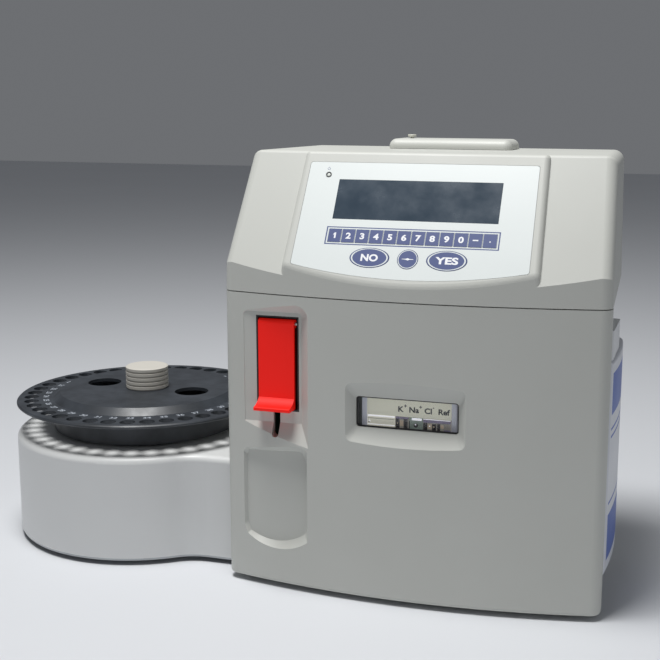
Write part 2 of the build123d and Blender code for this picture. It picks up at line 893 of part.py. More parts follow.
# Printer cradle, paper roll and platen roller
hood_inside = hood_top - wall
cheek_inner = roll_width / 2 + side_gap + 0.5
cheek_outer = cheek_inner + cheek_thick
ear_width = 10.0
cradle_front = platen_y - 8
cradle_back = roll_y + roll_radius + 2
cradle_z = hood_inside - running_gap - printer_depth
roll_z = hood_top - roll_drop
platen_z = hood_top - platen_drop
with BuildPart() as printer_mechanism:
    with BuildSketch(facing(cradle_back)):
        with BuildLine():
            Polyline(
                (-cheek_outer, cradle_z),
                (cheek_outer, cradle_z),
                (cheek_outer, hood_inside - cheek_thick),
                (cheek_outer + ear_width, hood_inside - cheek_thick),
                (cheek_outer + ear_width, hood_inside - running_gap),
                (cheek_inner, hood_inside - running_gap),
                (cheek_inner, cradle_z + cheek_thick),
                (-cheek_inner, cradle_z + cheek_thick),
                (-cheek_inner, hood_inside - running_gap),
                (-cheek_outer - ear_width, hood_inside - running_gap),
                (-cheek_outer - ear_width, hood_inside - cheek_thick),
                (-cheek_outer, hood_inside - cheek_thick),
                close=True,
            )
        make_face()
    extrude(amount=cradle_back - cradle_front)
    with BuildSketch(sideways(-cheek_outer)):
        with Locations((platen_y, platen_z)):
            Circle(platen_axle_radius + running_gap)
    extrude(amount=2 * cheek_outer, mode=Mode.SUBTRACT)
    for side in (-1, 1):
        stub_start = cheek_inner if side > 0 else -cheek_inner
        with BuildSketch(sideways(stub_start)):
            with Locations((roll_y, roll_z)):
                Circle(roll_core_radius - running_gap)
        extrude(amount=-side * (side_gap + 4.5))
    add(block(facing(cradle_front + 2), -cheek_inner, cheek_inner, cradle_z, platen_z - 8, -4))
printer_mechanism.part.label = "printer_mechanism"
export_step(printer_mechanism.part, "parts/printer_mechanism.step")

with BuildPart() as paper_roll:
    with BuildSketch(sideways(-roll_width / 2)):
        with Locations((roll_y, roll_z)):
            Circle(roll_radius)
            Circle(roll_core_radius, mode=Mode.SUBTRACT)
    extrude(amount=roll_width)
paper_roll.part.label = "paper_roll"
export_step(paper_roll.part, "parts/paper_roll.step")

with BuildPart() as platen_roller:
    with BuildSketch(sideways(-roll_width / 2)):
        with Locations((platen_y, platen_z)):
            Circle(platen_radius)
    extrude(amount=roll_width)
    with BuildSketch(sideways(-cheek_outer)):
        with Locations((platen_y, platen_z)):
            Circle(platen_axle_radius)
    extrude(amount=2 * cheek_outer)
platen_roller.part.label = "platen_roller"
export_step(platen_roller.part, "parts/platen_roller.step")

# Black box behind the flap opening, flap, pin and probe
box_left = flap_opening_left + running_gap
box_right = flap_opening_left + flap_opening_width - running_gap
box_low = flap_opening_bottom + running_gap
box_high = flap_opening_bottom + flap_opening_height - running_gap
box_front = recess_floor + running_gap
pin_z = box_high - flap_box_wall - flap_head_gap - flap_barrel_radius
pin_y = recess_floor - flap_proud + flap_barrel_radius
with BuildPart() as flap_housing:
    add(block(facing(box_front), box_left, box_right, box_low, box_high, -flap_box_depth))
    add(
        block(
            facing(box_front),
            box_left + flap_box_wall,
            box_right - flap_box_wall,
            box_low + flap_box_wall,
            box_high - flap_box_wall,
            flap_box_wall - flap_box_depth,
        ),
        mode=Mode.SUBTRACT,
    )
    with BuildSketch(sideways(box_left)):
        with Locations((pin_y, pin_z)):
            Circle(flap_pin_radius + running_gap)
    extrude(amount=flap_opening_width, mode=Mode.SUBTRACT)
    add(
        block(
            facing(box_front),
            slot_middle - slot_width / 2,
            slot_middle + slot_width / 2,
            box_low,
            box_low + flap_box_wall,
            2 - flap_box_depth,
        ),
        mode=Mode.SUBTRACT,
    )
flap_housing.part.label = "flap_housing"
export_step(flap_housing.part, "parts/flap_housing.step")

with BuildPart() as flap_pin:
    with BuildSketch(sideways(box_left + running_gap)):
        with Locations((pin_y, pin_z)):
            Circle(flap_pin_radius)
    extrude(amount=box_right - box_left - 2 * running_gap)
flap_pin.part.label = "flap_pin"
export_step(flap_pin.part, "parts/flap_pin.step")

flap_left = box_left + flap_box_wall + flap_left_gap
flap_front = recess_floor - flap_proud
flap_back = flap_front + flap_thick
flap_foot = box_low + flap_foot_gap
lip_root = flap_foot + flap_lip_thick + flap_lip_drop
probe_y = flap_back + probe_setback
probe_tip = flap_opening_bottom - probe_reach
block_low = flap_foot + 6
with BuildPart() as sample_flap:
    with BuildSketch(sideways(flap_left)):
        with Locations((pin_y, pin_z)):
            Circle(flap_barrel_radius)
        with BuildLine():
            Polyline((flap_back, pin_z), (flap_front, pin_z), (flap_front, lip_root))
            ThreePointArc(
                (flap_front, lip_root),
                (flap_front - flap_lip_reach * 0.35, lip_root - flap_lip_drop * 0.62),
                (flap_front - flap_lip_reach, lip_root - flap_lip_drop),
            )
            Polyline(
                (flap_front - flap_lip_reach, lip_root - flap_lip_drop),
                (flap_front - flap_lip_reach, flap_foot),
                (flap_back, flap_foot),
                (flap_back, pin_z),
            )
        make_face()
    extrude(amount=flap_width)
    lip_edges = sample_flap.edges().filter_by(Axis.X).group_by(Axis.Y)[0]
    fillet(lip_edges, flap_lip_thick / 3)
    add(
        block(
            facing(flap_back),
            slot_middle - probe_block_width / 2,
            slot_middle + probe_block_width / 2,
            block_low,
            block_low + probe_block_height,
            -probe_setback - 2 * probe_radius,
        )
    )
    with BuildSketch(level(block_low, slot_middle, probe_y)):
        Circle(probe_radius + 0.02)
    extrude(amount=probe_block_height, mode=Mode.SUBTRACT)
    with BuildSketch(sideways(flap_left)):
        with Locations((pin_y, pin_z)):
            Circle(flap_pin_radius + running_gap)
    extrude(amount=flap_width, mode=Mode.SUBTRACT)
sample_flap.part.label = "sample_flap"
export_step(sample_flap.part, "parts/sample_flap.step")

with BuildPart() as sample_probe:
    with BuildSketch(level(probe_tip, slot_middle, probe_y)):
        Circle(probe_radius)
    extrude(amount=block_low + probe_block_height + 2 - probe_tip)
sample_probe.part.label = "sample_probe"
export_step(sample_probe.part, "parts/sample_probe.step")

# Window pane, label plate, electrode rack and electrodes
pane_low = window_low - pane_margin
pane_high = window_high + pane_margin
pane_left = window_middle - window_half_width - pane_margin
pane_right = window_middle + window_half_width + pane_margin
with BuildPart() as window_pane:
    add(block(facing(window_back + running_gap), pane_left, pane_right, pane_low, pane_high, -pane_thick))
window_pane.part.label = "window_pane"
export_step(window_pane.part, "parts/window_pane.step")

electrode_front = window_back + pane_thick + label_setback
electrode_low = window_low - electrode_drop
rack_top = window_high + rack_rise
electrode_z = electrode_low + electrode_height / 2
plate_left = rack_left + rack_post + panel_gap
plate_right = rack_right - rack_post - panel_gap
rack_front = electrode_front - label_thick
rack_reach = wall_front - rack_front
with BuildPart() as electrode_rack:
    add(block(facing(wall_front), rack_left, rack_right, floor_top, rack_top, -sheet))
    for post_left in (rack_left, rack_right - rack_post):
        add(block(facing(rack_front), post_left, post_left + rack_post,
                  electrode_low - rack_shelf, rack_top, -rack_reach - sheet))
    add(block(facing(rack_front), rack_left, rack_right,
              electrode_low - rack_shelf, electrode_low, -rack_reach - sheet))
    add(block(facing(wall_front), rack_left, rack_right, floor_top, floor_top + sheet, -rack_foot))
electrode_rack.part.label = "electrode_rack"
export_step(electrode_rack.part, "parts/electrode_rack.step")

with BuildPart() as label_plate:
    add(block(facing(rack_front), plate_left, plate_right,
              electrode_low + electrode_height + panel_gap, rack_top, -label_thick))
    add(block(facing(rack_front), plate_left + label_inset, plate_right - label_inset,
              rack_top - label_arm, rack_top, -rack_reach))
label_plate.part.label = "label_plate"
export_step(label_plate.part, "parts/label_plate.step")


def flow_block(left, right):
    """Clear block with the sample bore from side to side and a rear plug."""
    with BuildPart() as cell:
        add(block(facing(electrode_front), left, right, electrode_low,
                  electrode_low + electrode_height, -electrode_depth))
        chamfer(cell.edges().filter_by(Axis.X).group_by(Axis.Y)[0], 0.8)
        with BuildSketch(sideways(left)):
            with Locations((electrode_front + electrode_depth / 2, electrode_z)):
                Circle(electrode_bore_radius)
        extrude(amount=right - left, mode=Mode.SUBTRACT)
    return cell.part


with BuildPart() as sample_detector:
    add(flow_block(plate_left, first_electrode - electrode_width / 2 - panel_gap))
sample_detector.part.label = "sample_detector"
export_step(sample_detector.part, "parts/sample_detector.step")

for index, ion in enumerate(("potassium", "sodium", "chloride", "reference")):
    middle = first_electrode + index * electrode_pitch
    with BuildPart() as electrode:
        add(flow_block(middle - electrode_width / 2, middle + electrode_width / 2))
        with BuildSketch(level(electrode_low + electrode_height, middle,
                               electrode_front + electrode_depth / 2 + 1)):
            Circle(electrode_width / 3)
        extrude(amount=rack_top - 10 - electrode_low - electrode_height)
    electrode.part.label = f"electrode_{ion}"
    export_step(electrode.part, f"parts/electrode_{ion}.step")

# Peristaltic pump: motor on a plate, rotor with three rollers, looped tube
plate_y = wall_front
roller_ring = rotor_radius - 0.5
track_radius = roller_ring + roller_radius + tube_gap + tube_radius
rotor_front = plate_y - rotor_thick - 1
with BuildPart() as pump_motor:
    add(block(facing(plate_y), pump_x - pump_plate_half_width, pump_x + pump_plate_half_width,
              floor_top, pump_plate_height, -sheet))
    add(block(facing(plate_y), pump_x - pump_plate_half_width, pump_x + pump_plate_half_width,
              floor_top, floor_top + sheet, -20))
    with BuildSketch(facing(plate_y + sheet)):
        with Locations((pump_x, pump_z)):
            Circle(pump_motor_radius)
    extrude(amount=-pump_motor_length)
    fillet(pump_motor.faces().sort_by(Axis.Y)[-1].edges(), 2)
    with BuildSketch(facing(plate_y - panel_gap)):
        with Locations((pump_x, pump_z)):
            Circle(rotor_shaft_radius + running_gap)
    extrude(amount=-12, mode=Mode.SUBTRACT)
pump_motor.part.label = "pump_motor"
export_step(pump_motor.part, "parts/pump_motor.step")

with BuildPart() as pump_rotor:
    with BuildSketch(facing(plate_y - 1)):
        with Locations((pump_x, pump_z)):
            Circle(rotor_radius - 4)
            with PolarLocations(roller_ring, 3, start_angle=90):
                Circle(roller_radius)
            with PolarLocations(roller_ring / 2, 3, start_angle=90):
                Rectangle(roller_ring, 4)
    extrude(amount=rotor_thick)
    with BuildSketch(facing(rotor_front)):
        with Locations((pump_x, pump_z)):
            Circle(rotor_shaft_radius)
    extrude(amount=-rotor_thick - 10)
pump_rotor.part.label = "pump_rotor"
export_step(pump_rotor.part, "parts/pump_rotor.step")

tube_y = plate_y - 1 - rotor_thick / 2
with BuildPart() as pump_tube:
    with BuildLine():
        ThreePointArc(
            (unit_x + pump_x - track_radius, unit_y + tube_y, pump_z),
            (unit_x + pump_x, unit_y + tube_y, pump_z + track_radius),
            (unit_x + pump_x + track_radius, unit_y + tube_y, pump_z),
        )
        Line(
            (unit_x + pump_x + track_radius, unit_y + tube_y, pump_z),
            (unit_x + pump_x + track_radius, unit_y + tube_y, floor_top + 12),
        )
    with BuildSketch(level(pump_z, pump_x - track_radius, tube_y)):
        Circle(tube_radius)
    sweep()
    with BuildSketch(level(pump_z, pump_x - track_radius, tube_y)):
        Circle(tube_radius)
    extrude(amount=floor_top + 12 - pump_z)
    for side in (-1, 1):
        stem_x = pump_x + side * track_radius
        add(block(facing(plate_y - running_gap), stem_x - 3, stem_x + 3, floor_top + 16,
                  floor_top + 24, plate_y - running_gap - tube_y + tube_radius))
pump_tube.part.label = "pump_tube"
export_step(pump_tube.part, "parts/pump_tube.step")

# Main board on the left wall, supply on the floor
board_x = left_wall + sheet + standoff
with BuildPart() as main_board:
    with BuildSketch(sideways(board_x, main_board_y, main_board_z)):
        with Locations((main_board_size[0] / 2, main_board_size[1] / 2)):
            Rectangle(*main_board_size)
    extrude(amount=board_thick)
    with BuildSketch(sideways(board_x, main_board_y, main_board_z)):
        with Locations((main_board_size[0] / 2, main_board_size[1] / 2)):
            with GridLocations(main_board_size[0] - 12, main_board_size[1] - 12, 2, 2):
                Circle(3)
    extrude(amount=-standoff)
    with BuildSketch(sideways(board_x + board_thick, main_board_y, main_board_z)):
        with Locations(*chip_places):
            Rectangle(chip_side, chip_side)
        with Locations(relay_place):
            Rectangle(*relay_size)
        with Locations(socket_place):
            Rectangle(*socket_size)
    extrude(amount=component_height)
main_board.part.label = "main_board"
export_step(main_board.part, "parts/main_board.step")

supply_back = rear_face - sheet - inlet_depth - 8
with BuildPart() as power_supply:
    with BuildSketch(
        level(floor_top, supply_x + supply_size[0] / 2, supply_back - supply_size[1] / 2)
    ):
        Rectangle(supply_size[0], supply_size[1])
    extrude(amount=supply_size[2])
    fillet(upright_edges(power_supply), 2)
power_supply.part.label = "power_supply"
export_step(power_supply.part, "parts/power_supply.step")

# Mains inlet and rocker switch in the rear wall
socket_wall = 2.5
with BuildPart() as power_inlet:
    with BuildSketch(facing(rear_face)):
        with Locations((inlet_x, inlet_z)):
            RectangleRounded(inlet_flange[0], inlet_flange[1], 4)
    extrude(amount=-2)
    with BuildSketch(facing(rear_face)):
        with Locations((inlet_x, inlet_z)):
            Rectangle(*inlet_size)
    extrude(amount=inlet_depth)
    with BuildSketch(facing(rear_face + 2)):
        with Locations((inlet_x, inlet_z)):
            Rectangle(inlet_size[0] - 2 * socket_wall, inlet_size[1] - 2 * socket_wall)
    extrude(amount=inlet_depth, mode=Mode.SUBTRACT)
    with BuildSketch(facing(rear_face + 2 - inlet_depth)):
        with Locations((inlet_x, inlet_z + 2), (inlet_x - 7, inlet_z - 2), (inlet_x + 7, inlet_z - 2)):
            Rectangle(2, 4)
    extrude(amount=-10)
power_inlet.part.label = "power_inlet"
export_step(power_inlet.part, "parts/power_inlet.step")

rocker_half = switch_size[0] / 2
rocker_pin_reach = rocker_half + 2 * panel_gap + sheet
with BuildPart() as power_switch:
    with BuildSketch(sideways(switch_x - rocker_half)):
        with BuildLine():
            Polyline(
                (rocker_axis_y, inlet_z - 4),
                (rear_face + 1.5, inlet_z - switch_size[1] / 2 + 1.5),
                (rear_face + 2.2, inlet_z),
                (rear_face + 1.5, inlet_z + switch_size[1] / 2 - 1.5),
                (rocker_axis_y, inlet_z + 4),
                close=True,
            )
        make_face()
        with Locations((rocker_axis_y, inlet_z)):
            Circle(4)
    extrude(amount=switch_size[0])
    with BuildSketch(sideways(switch_x - rocker_pin_reach)):
        with Locations((rocker_axis_y, inlet_z)):
            Circle(rocker_pin_radius)
    extrude(amount=2 * rocker_pin_reach)
power_switch.part.label = "power_switch"
export_step(power_switch.part, "parts/power_switch.step")

# Reagent pack, hung on two pegs of the right wall, with its fittings on top
pack_shoulder = hood_bottom - pack_headroom
fitting_height = pack_headroom - sheet - fitting_clearance - nozzle_length
pack_front = wall_front + sheet + pack_front_gap
pack_left = right_wall + pack_gap
pack_middle = pack_front + pack_depth / 2
with BuildPart() as reagent_pack:
    with BuildSketch(level(pack_bottom)):
        with BuildLine():
            ThreePointArc(
                (pack_face, pack_front),
                (pack_face + pack_bulge, pack_middle),
                (pack_face, pack_front + pack_depth),
            )
            Polyline(
                (pack_face, pack_front + pack_depth),
                (pack_left, pack_front + pack_depth),
                (pack_left, pack_front),
                (pack_face, pack_front),
            )
        make_face()
    extrude(amount=pack_shoulder - pack_bottom)
    rear_low = reagent_pack.edges().filter_by(Axis.X).group_by(Axis.Z)[0].sort_by(Axis.Y)[-1]
    fillet(rear_low, pack_bottom_radius)
    outer = reagent_pack.faces().filter_by(GeomType.CYLINDER).sort_by(Axis.X)[-1]
    fillet(outer.edges(), pack_radius)
    with BuildSketch(sideways(pack_left)):
        with Locations(*[(peg_y, height) for height in peg_heights]):
            Circle(peg_radius + peg_gap)
    extrude(amount=peg_length - pack_gap + peg_gap, mode=Mode.SUBTRACT)
reagent_pack.part.label = "reagent_pack"
export_step(reagent_pack.part, "parts/reagent_pack.step")

fitting_left = pack_face - fitting_thick
fitting_front = pack_front + 4
with BuildPart() as pack_fittings:
    with BuildSketch(level(pack_shoulder)):
        with Locations((fitting_left + fitting_thick / 2, fitting_front + fitting_depth / 2)):
            RectangleRounded(fitting_thick, fitting_depth, 3)
    extrude(amount=fitting_height)
    with BuildSketch(level(pack_shoulder + fitting_height)):
        for index in range(nozzle_count):
            nozzle_y = fitting_front + fitting_depth / 2 + (index - (nozzle_count - 1) / 2) * nozzle_pitch
            with Locations((fitting_left + fitting_thick / 2, nozzle_y)):
                Circle(nozzle_radius)
    extrude(amount=nozzle_length, taper=4)
pack_fittings.part.label = "pack_fittings"
export_step(pack_fittings.part, "parts/pack_fittings.step")

# Tray sampler: housing and floor
housing_top = foot_height + housing_height
neck_reach = left_wall - sampler_x


def housing_plan(inset):
    """Round body with a waisted neck that widens to the main unit's wall."""
    radius = housing_radius - inset
    near = inset - neck_front_reach
    far = neck_rear_reach - inset
    with BuildSketch() as plan:
        Circle(radius)
        with BuildSketch(mode=Mode.PRIVATE) as neck:
            with Locations((neck_reach / 2, (near + far) / 2)):
                Rectangle(neck_reach, far - near)
        add(neck.sketch)
        joints = plan.vertices().filter_by(lambda corner: 0 < corner.X < neck_reach - 1)
        fillet(joints, neck_flare)
    return plan.sketch


with BuildPart() as sampler_housing:
    with BuildSketch(level(floor_top, sampler_x, sampler_y)):
        add(housing_plan(0))
    extrude(amount=housing_top - floor_top)
    crown = sampler_housing.faces().sort_by(Axis.Z)[-1]
    round_edges = crown.edges().filter_by(lambda edge: edge.center().X < unit_x + left_wall - 1)
    fillet(round_edges, housing_edge_radius)
    with BuildSketch(level(foot_height - 1, sampler_x, sampler_y)):
        add(housing_plan(wall))
    extrude(amount=housing_height - wall + 1, mode=Mode.SUBTRACT)
    with BuildSketch(level(housing_top - 16, sampler_x, sampler_y)):
        Circle(hub_radius)
    extrude(amount=14)
    with BuildSketch(level(0, sampler_x, sampler_y)):
        Circle(spindle_radius + running_gap)
    extrude(amount=housing_top + 10, mode=Mode.SUBTRACT)
sampler_housing.part.label = "sampler_housing"
export_step(sampler_housing.part, "parts/sampler_housing.step")

motor_x = gear_module * (gear_teeth + pinion_teeth) / 2 + gear_play
with BuildPart() as sampler_base:
    with BuildSketch(level(foot_height, sampler_x, sampler_y)):
        add(housing_plan(base_inset))
    extrude(amount=sheet)
    with BuildSketch(level(floor_top, sampler_x, sampler_y)):
        Circle(hub_radius)
    extrude(amount=bearing_height)
    with BuildSketch(level(floor_top + 1, sampler_x, sampler_y)):
        Circle(spindle_radius + running_gap)
    extrude(amount=bearing_height, mode=Mode.SUBTRACT)
sampler_base.part.label = "sampler_base"
export_step(sampler_base.part, "parts/sampler_base.step")

# Rotating tray, knob and spindle
drum_bottom = housing_top + drum_gap
rim_bottom = drum_bottom + drum_height
rim_top = rim_bottom + rim_thick
tray_top = rim_top + dome_rise
with BuildPart() as sample_tray:
    with BuildSketch(facing(sampler_y, sampler_x)):
        with BuildLine():
            Polyline(
                (spindle_radius + running_gap, drum_bottom),
                (hub_radius, drum_bottom),
                (hub_radius, tray_top - tray_wall),
                (dome_radius - 1, tray_top - tray_wall),
                (drum_radius - tray_wall, rim_bottom),
                (drum_radius - tray_wall, drum_bottom),
                (drum_radius, drum_bottom),
                (drum_radius, rim_bottom),
                (rim_outer_radius - 1, rim_bottom),
                (rim_outer_radius, rim_bottom + 1),
                (rim_outer_radius, rim_top - 1),
                (rim_outer_radius - 1, rim_top),
                (drum_radius + 0.6, rim_top),
                (dome_radius, tray_top),
                (spindle_radius + running_gap, tray_top),
                close=True,
            )
        make_face()
    revolve(axis=Axis((unit_x + sampler_x, unit_y + sampler_y, 0), (0, 0, 1)))
    with BuildSketch(level(rim_bottom - 1, sampler_x, sampler_y)):
        with PolarLocations(cup_ring_radius, cup_count):
            Circle(cup_radius)
    extrude(amount=rim_thick + 2, mode=Mode.SUBTRACT)
    with BuildSketch(level(tray_top - 2 * tray_wall, sampler_x, sampler_y)):
        with PolarLocations(grip_ring_radius, 2, start_angle=grip_angle):
            Circle(grip_radius)
    extrude(amount=3 * tray_wall, mode=Mode.SUBTRACT)
sample_tray.part.label = "sample_tray"
export_step(sample_tray.part, "parts/sample_tray.step")

with BuildPart() as tray_knob:
    ring_height = tray_knob_height / tray_knob_rings
    with BuildSketch(facing(sampler_y, sampler_x)):
        with BuildLine():
            outline = [(0, tray_top), (tray_knob_radius - tray_knob_groove, tray_top)]
            for ring in range(tray_knob_rings):
                low = tray_top + ring * ring_height
                outline += [
                    (tray_knob_radius - tray_knob_groove, low + 0.5),
                    (tray_knob_radius, low + 1.1),
                    (tray_knob_radius, low + ring_height - 0.6),
                    (tray_knob_radius - tray_knob_groove, low + ring_height),
                ]
            outline += [(0, tray_top + tray_knob_height)]
            Polyline(*outline, close=True)
        make_face()
    revolve(axis=Axis((unit_x + sampler_x, unit_y + sampler_y, 0), (0, 0, 1)))
tray_knob.part.label = "tray_knob"
export_step(tray_knob.part, "parts/tray_knob.step")


def gear_face(teeth):
    """Spur gear outline with straight-flanked teeth and some backlash."""
    pitch_radius = gear_module * teeth / 2
    tip = pitch_radius + 0.8 * gear_module
    root = pitch_radius - 1.15 * gear_module
    pitch_angle = 360 / teeth
    half_angles = [(root, 0.32), (tip, 0.13)]
    points = []
    for tooth in range(teeth):
        middle = tooth * pitch_angle
        for radius, share in half_angles:
            angle = radians(middle - share * pitch_angle)
            points.append((radius * cos(angle), radius * sin(angle)))
        for radius, share in reversed(half_angles):
            angle = radians(middle + share * pitch_angle)
            points.append((radius * cos(angle), radius * sin(angle)))
    with BuildSketch() as face:
        with BuildLine():
            Polyline(*points, close=True)
        make_face()
    return face.sketch


gear_z = floor_top + gear_lift
with BuildPart() as tray_spindle:
    with BuildSketch(level(floor_top + 1 + running_gap, sampler_x, sampler_y)):
        Circle(spindle_radius)
    extrude(amount=tray_top - floor_top - 1 - running_gap)
    with BuildSketch(level(housing_top + panel_gap, sampler_x, sampler_y)):
        Circle(collar_radius)
    extrude(amount=drum_gap - panel_gap)
    with BuildSketch(level(gear_z, sampler_x, sampler_y)):
        add(gear_face(gear_teeth))
    extrude(amount=gear_thick)
tray_spindle.part.label = "tray_spindle"
export_step(tray_spindle.part, "parts/tray_spindle.step")

motor_top = floor_top + motor_height
with BuildPart() as tray_motor:
    with BuildSketch(level(floor_top, sampler_x + motor_x, sampler_y)):
        Rectangle(motor_side, motor_side)
    extrude(amount=motor_height)
    chamfer(upright_edges(tray_motor), 4)
    with BuildSketch(level(motor_top, sampler_x + motor_x, sampler_y)):
        Circle(11)
    extrude(amount=2)
    with BuildSketch(level(motor_top - 20, sampler_x + motor_x, sampler_y)):
        Circle(motor_shaft_radius + running_gap)
    extrude(amount=30, mode=Mode.SUBTRACT)
tray_motor.part.label = "tray_motor"
export_step(tray_motor.part, "parts/tray_motor.step")

with BuildPart() as motor_pinion:
    with BuildSketch(level(gear_z - 0.5, sampler_x + motor_x, sampler_y)):
        add(Rot(0, 0, 180 / pinion_teeth) * gear_face(pinion_teeth))
    extrude(amount=gear_thick + 1)
    with BuildSketch(level(motor_top - 18, sampler_x + motor_x, sampler_y)):
        Circle(motor_shaft_radius)
    extrude(amount=gear_z - motor_top + 18)
motor_pinion.part.label = "motor_pinion"
export_step(motor_pinion.part, "parts/motor_pinion.step")
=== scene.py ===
# %% [markdown]
# # Bench-top electrolyte analyzer
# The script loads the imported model, gives every node its material and adds the small
# pieces that belong to the surface: key marks, tray numbers, labels, screws and trim.
# All lengths are in metres; `MM` turns millimetres into metres.

# %%
from math import cos, pi, radians, sin

import bpy
import numpy as np
from mathutils import Matrix, Vector


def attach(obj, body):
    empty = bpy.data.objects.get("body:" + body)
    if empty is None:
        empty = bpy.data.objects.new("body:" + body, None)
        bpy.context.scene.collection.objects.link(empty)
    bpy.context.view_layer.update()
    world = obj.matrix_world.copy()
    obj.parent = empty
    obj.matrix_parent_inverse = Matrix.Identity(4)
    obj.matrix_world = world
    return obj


MM = 0.001
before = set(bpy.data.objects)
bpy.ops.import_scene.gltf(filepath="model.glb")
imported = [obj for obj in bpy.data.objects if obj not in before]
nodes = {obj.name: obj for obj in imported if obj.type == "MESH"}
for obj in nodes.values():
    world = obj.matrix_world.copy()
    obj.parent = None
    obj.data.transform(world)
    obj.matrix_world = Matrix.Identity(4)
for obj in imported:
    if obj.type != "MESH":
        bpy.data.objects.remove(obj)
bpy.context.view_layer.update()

# %% [markdown]
# ## Places that the pieces share
# The console is a plane that leans back by the slope angle. A point on it is given by
# its distance across the unit, its distance up the slope and its height above the face.

# %%
UNIT_X, UNIT_Y = 118.4 * MM, -102.0 * MM
SLOPE = radians(32)
CONSOLE_ORIGIN = Vector((UNIT_X, UNIT_Y - 16.5 * MM, 250.0 * MM))
CONSOLE_U = Vector((1, 0, 0))
CONSOLE_V = Vector((0, sin(SLOPE), cos(SLOPE)))
CONSOLE_N = Vector((0, -cos(SLOPE), sin(SLOPE)))
TRAY_X, TRAY_Y = UNIT_X - 274.0 * MM, UNIT_Y + 106.0 * MM
KEY_PITCH, KEY_ROW = 10.85, 38.6
OVAL_X, OVAL_V = 29.5, 21.2


def plane_matrix(origin, across, up):
    """Matrix that lays the XY plane on a plane through origin."""
    out = across.cross(up)
    matrix = Matrix((across, up, out)).transposed().to_4x4()
    matrix.translation = origin
    return matrix


def console_matrix(u, v, height):
    """Place on the console, with u, v and height in millimetres."""
    origin = CONSOLE_ORIGIN + CONSOLE_U * u * MM + CONSOLE_V * v * MM + CONSOLE_N * height * MM
    return plane_matrix(origin, CONSOLE_U, CONSOLE_V)


# %% [markdown]
# ## Node helpers
# Small functions keep the material code short. Shared effects are node groups, so one
# grain or one tone drift serves several materials.

# %%
def add_node(tree, kind, **values):
    """Add a node and set its inputs and properties by name."""
    node = tree.nodes.new(kind)
    for key, value in values.items():
        if hasattr(node, key):
            setattr(node, key, value)
        else:
            node.inputs[key.replace("_", " ")].default_value = value
    return node


def math_node(tree, operation, first, second=None, clamp=False):
    """Math node whose inputs are sockets or numbers."""
    node = tree.nodes.new("ShaderNodeMath")
    node.operation = operation
    node.use_clamp = clamp
    for index, value in enumerate((first, second)):
        if value is None:
            continue
        if isinstance(value, (int, float)):
            node.inputs[index].default_value = value
        else:
            tree.links.new(value, node.inputs[index])
    return node.outputs[0]


def new_group(name, inputs, outputs):
    """Shader node group with named sockets; each entry is name, type, default."""
    group = bpy.data.node_groups.new(name, "ShaderNodeTree")
    for label, kind, default in inputs:
        socket = group.interface.new_socket(label, in_out="INPUT", socket_type=kind)
        if default is not None:
            socket.default_value = default
    for label, kind in outputs:
        group.interface.new_socket(label, in_out="OUTPUT", socket_type=kind)
    source = group.nodes.new("NodeGroupInput")
    target = group.nodes.new("NodeGroupOutput")
    return group, source, target


def grain_group():
    """Fine moulded grain as a bumped normal."""
    group, source, target = new_group(
        "moulded_grain",
        [("Scale", "NodeSocketFloat", 1800.0), ("Strength", "NodeSocketFloat", 0.2),
         ("Distance", "NodeSocketFloat", 0.0002)],
        [("Normal", "NodeSocketVector")],
    )
    place = group.nodes.new("ShaderNodeTexCoord")
    noise = add_node(group, "ShaderNodeTexNoise", Detail=3.0, Roughness=0.6)
    bump = group.nodes.new("ShaderNodeBump")
    group.links.new(place.outputs["Object"], noise.inputs["Vector"])
    group.links.new(source.outputs["Scale"], noise.inputs["Scale"])
    group.links.new(source.outputs["Strength"], bump.inputs["Strength"])
    group.links.new(source.outputs["Distance"], bump.inputs["Distance"])
    group.links.new(noise.outputs["Fac"], bump.inputs["Height"])
    group.links.new(bump.outputs["Normal"], target.inputs["Normal"])
    return group


def drift_group():
    """Slow drift of tone and roughness over a surface."""
    group, source, target = new_group(
        "tone_drift",
        [("Color", "NodeSocketColor", (0.5, 0.5, 0.5, 1)),
         ("Shade", "NodeSocketColor", (0.4, 0.4, 0.4, 1)),
         ("Scale", "NodeSocketFloat", 12.0), ("Low", "NodeSocketFloat", 0.4),
         ("High", "NodeSocketFloat", 0.5)],
        [("Color", "NodeSocketColor"), ("Roughness", "NodeSocketFloat")],
    )
    place = group.nodes.new("ShaderNodeTexCoord")
    noise = add_node(group, "ShaderNodeTexNoise", Detail=4.0, Roughness=0.55)
    mix = group.nodes.new("ShaderNodeMix")
    mix.data_type = "RGBA"
    spread = add_node(group, "ShaderNodeMapRange")
    spread.inputs["From Min"].default_value = 0.3
    spread.inputs["From Max"].default_value = 0.7
    group.links.new(place.outputs["Object"], noise.inputs["Vector"])
    group.links.new(source.outputs["Scale"], noise.inputs["Scale"])
    group.links.new(noise.outputs["Fac"], mix.inputs["Factor"])
    group.links.new(source.outputs["Color"], mix.inputs["A"])
    group.links.new(source.outputs["Shade"], mix.inputs["B"])
    group.links.new(noise.outputs["Fac"], spread.inputs["Value"])
    group.links.new(source.outputs["Low"], spread.inputs["To Min"])
    group.links.new(source.outputs["High"], spread.inputs["To Max"])
    group.links.new(mix.outputs["Result"], target.inputs["Color"])
    group.links.new(spread.outputs["Result"], target.inputs["Roughness"])
    return group


GRAIN = grain_group()
DRIFT = drift_group()


def srgb(red, green, blue):
    """Colour from 0 to 255 screen values, as linear values."""
    linear = []
    for value in (red, green, blue):
        share = value / 255
        linear.append(share / 12.92 if share <= 0.04045 else ((share + 0.055) / 1.055) ** 2.4)
    return (*linear, 1.0)


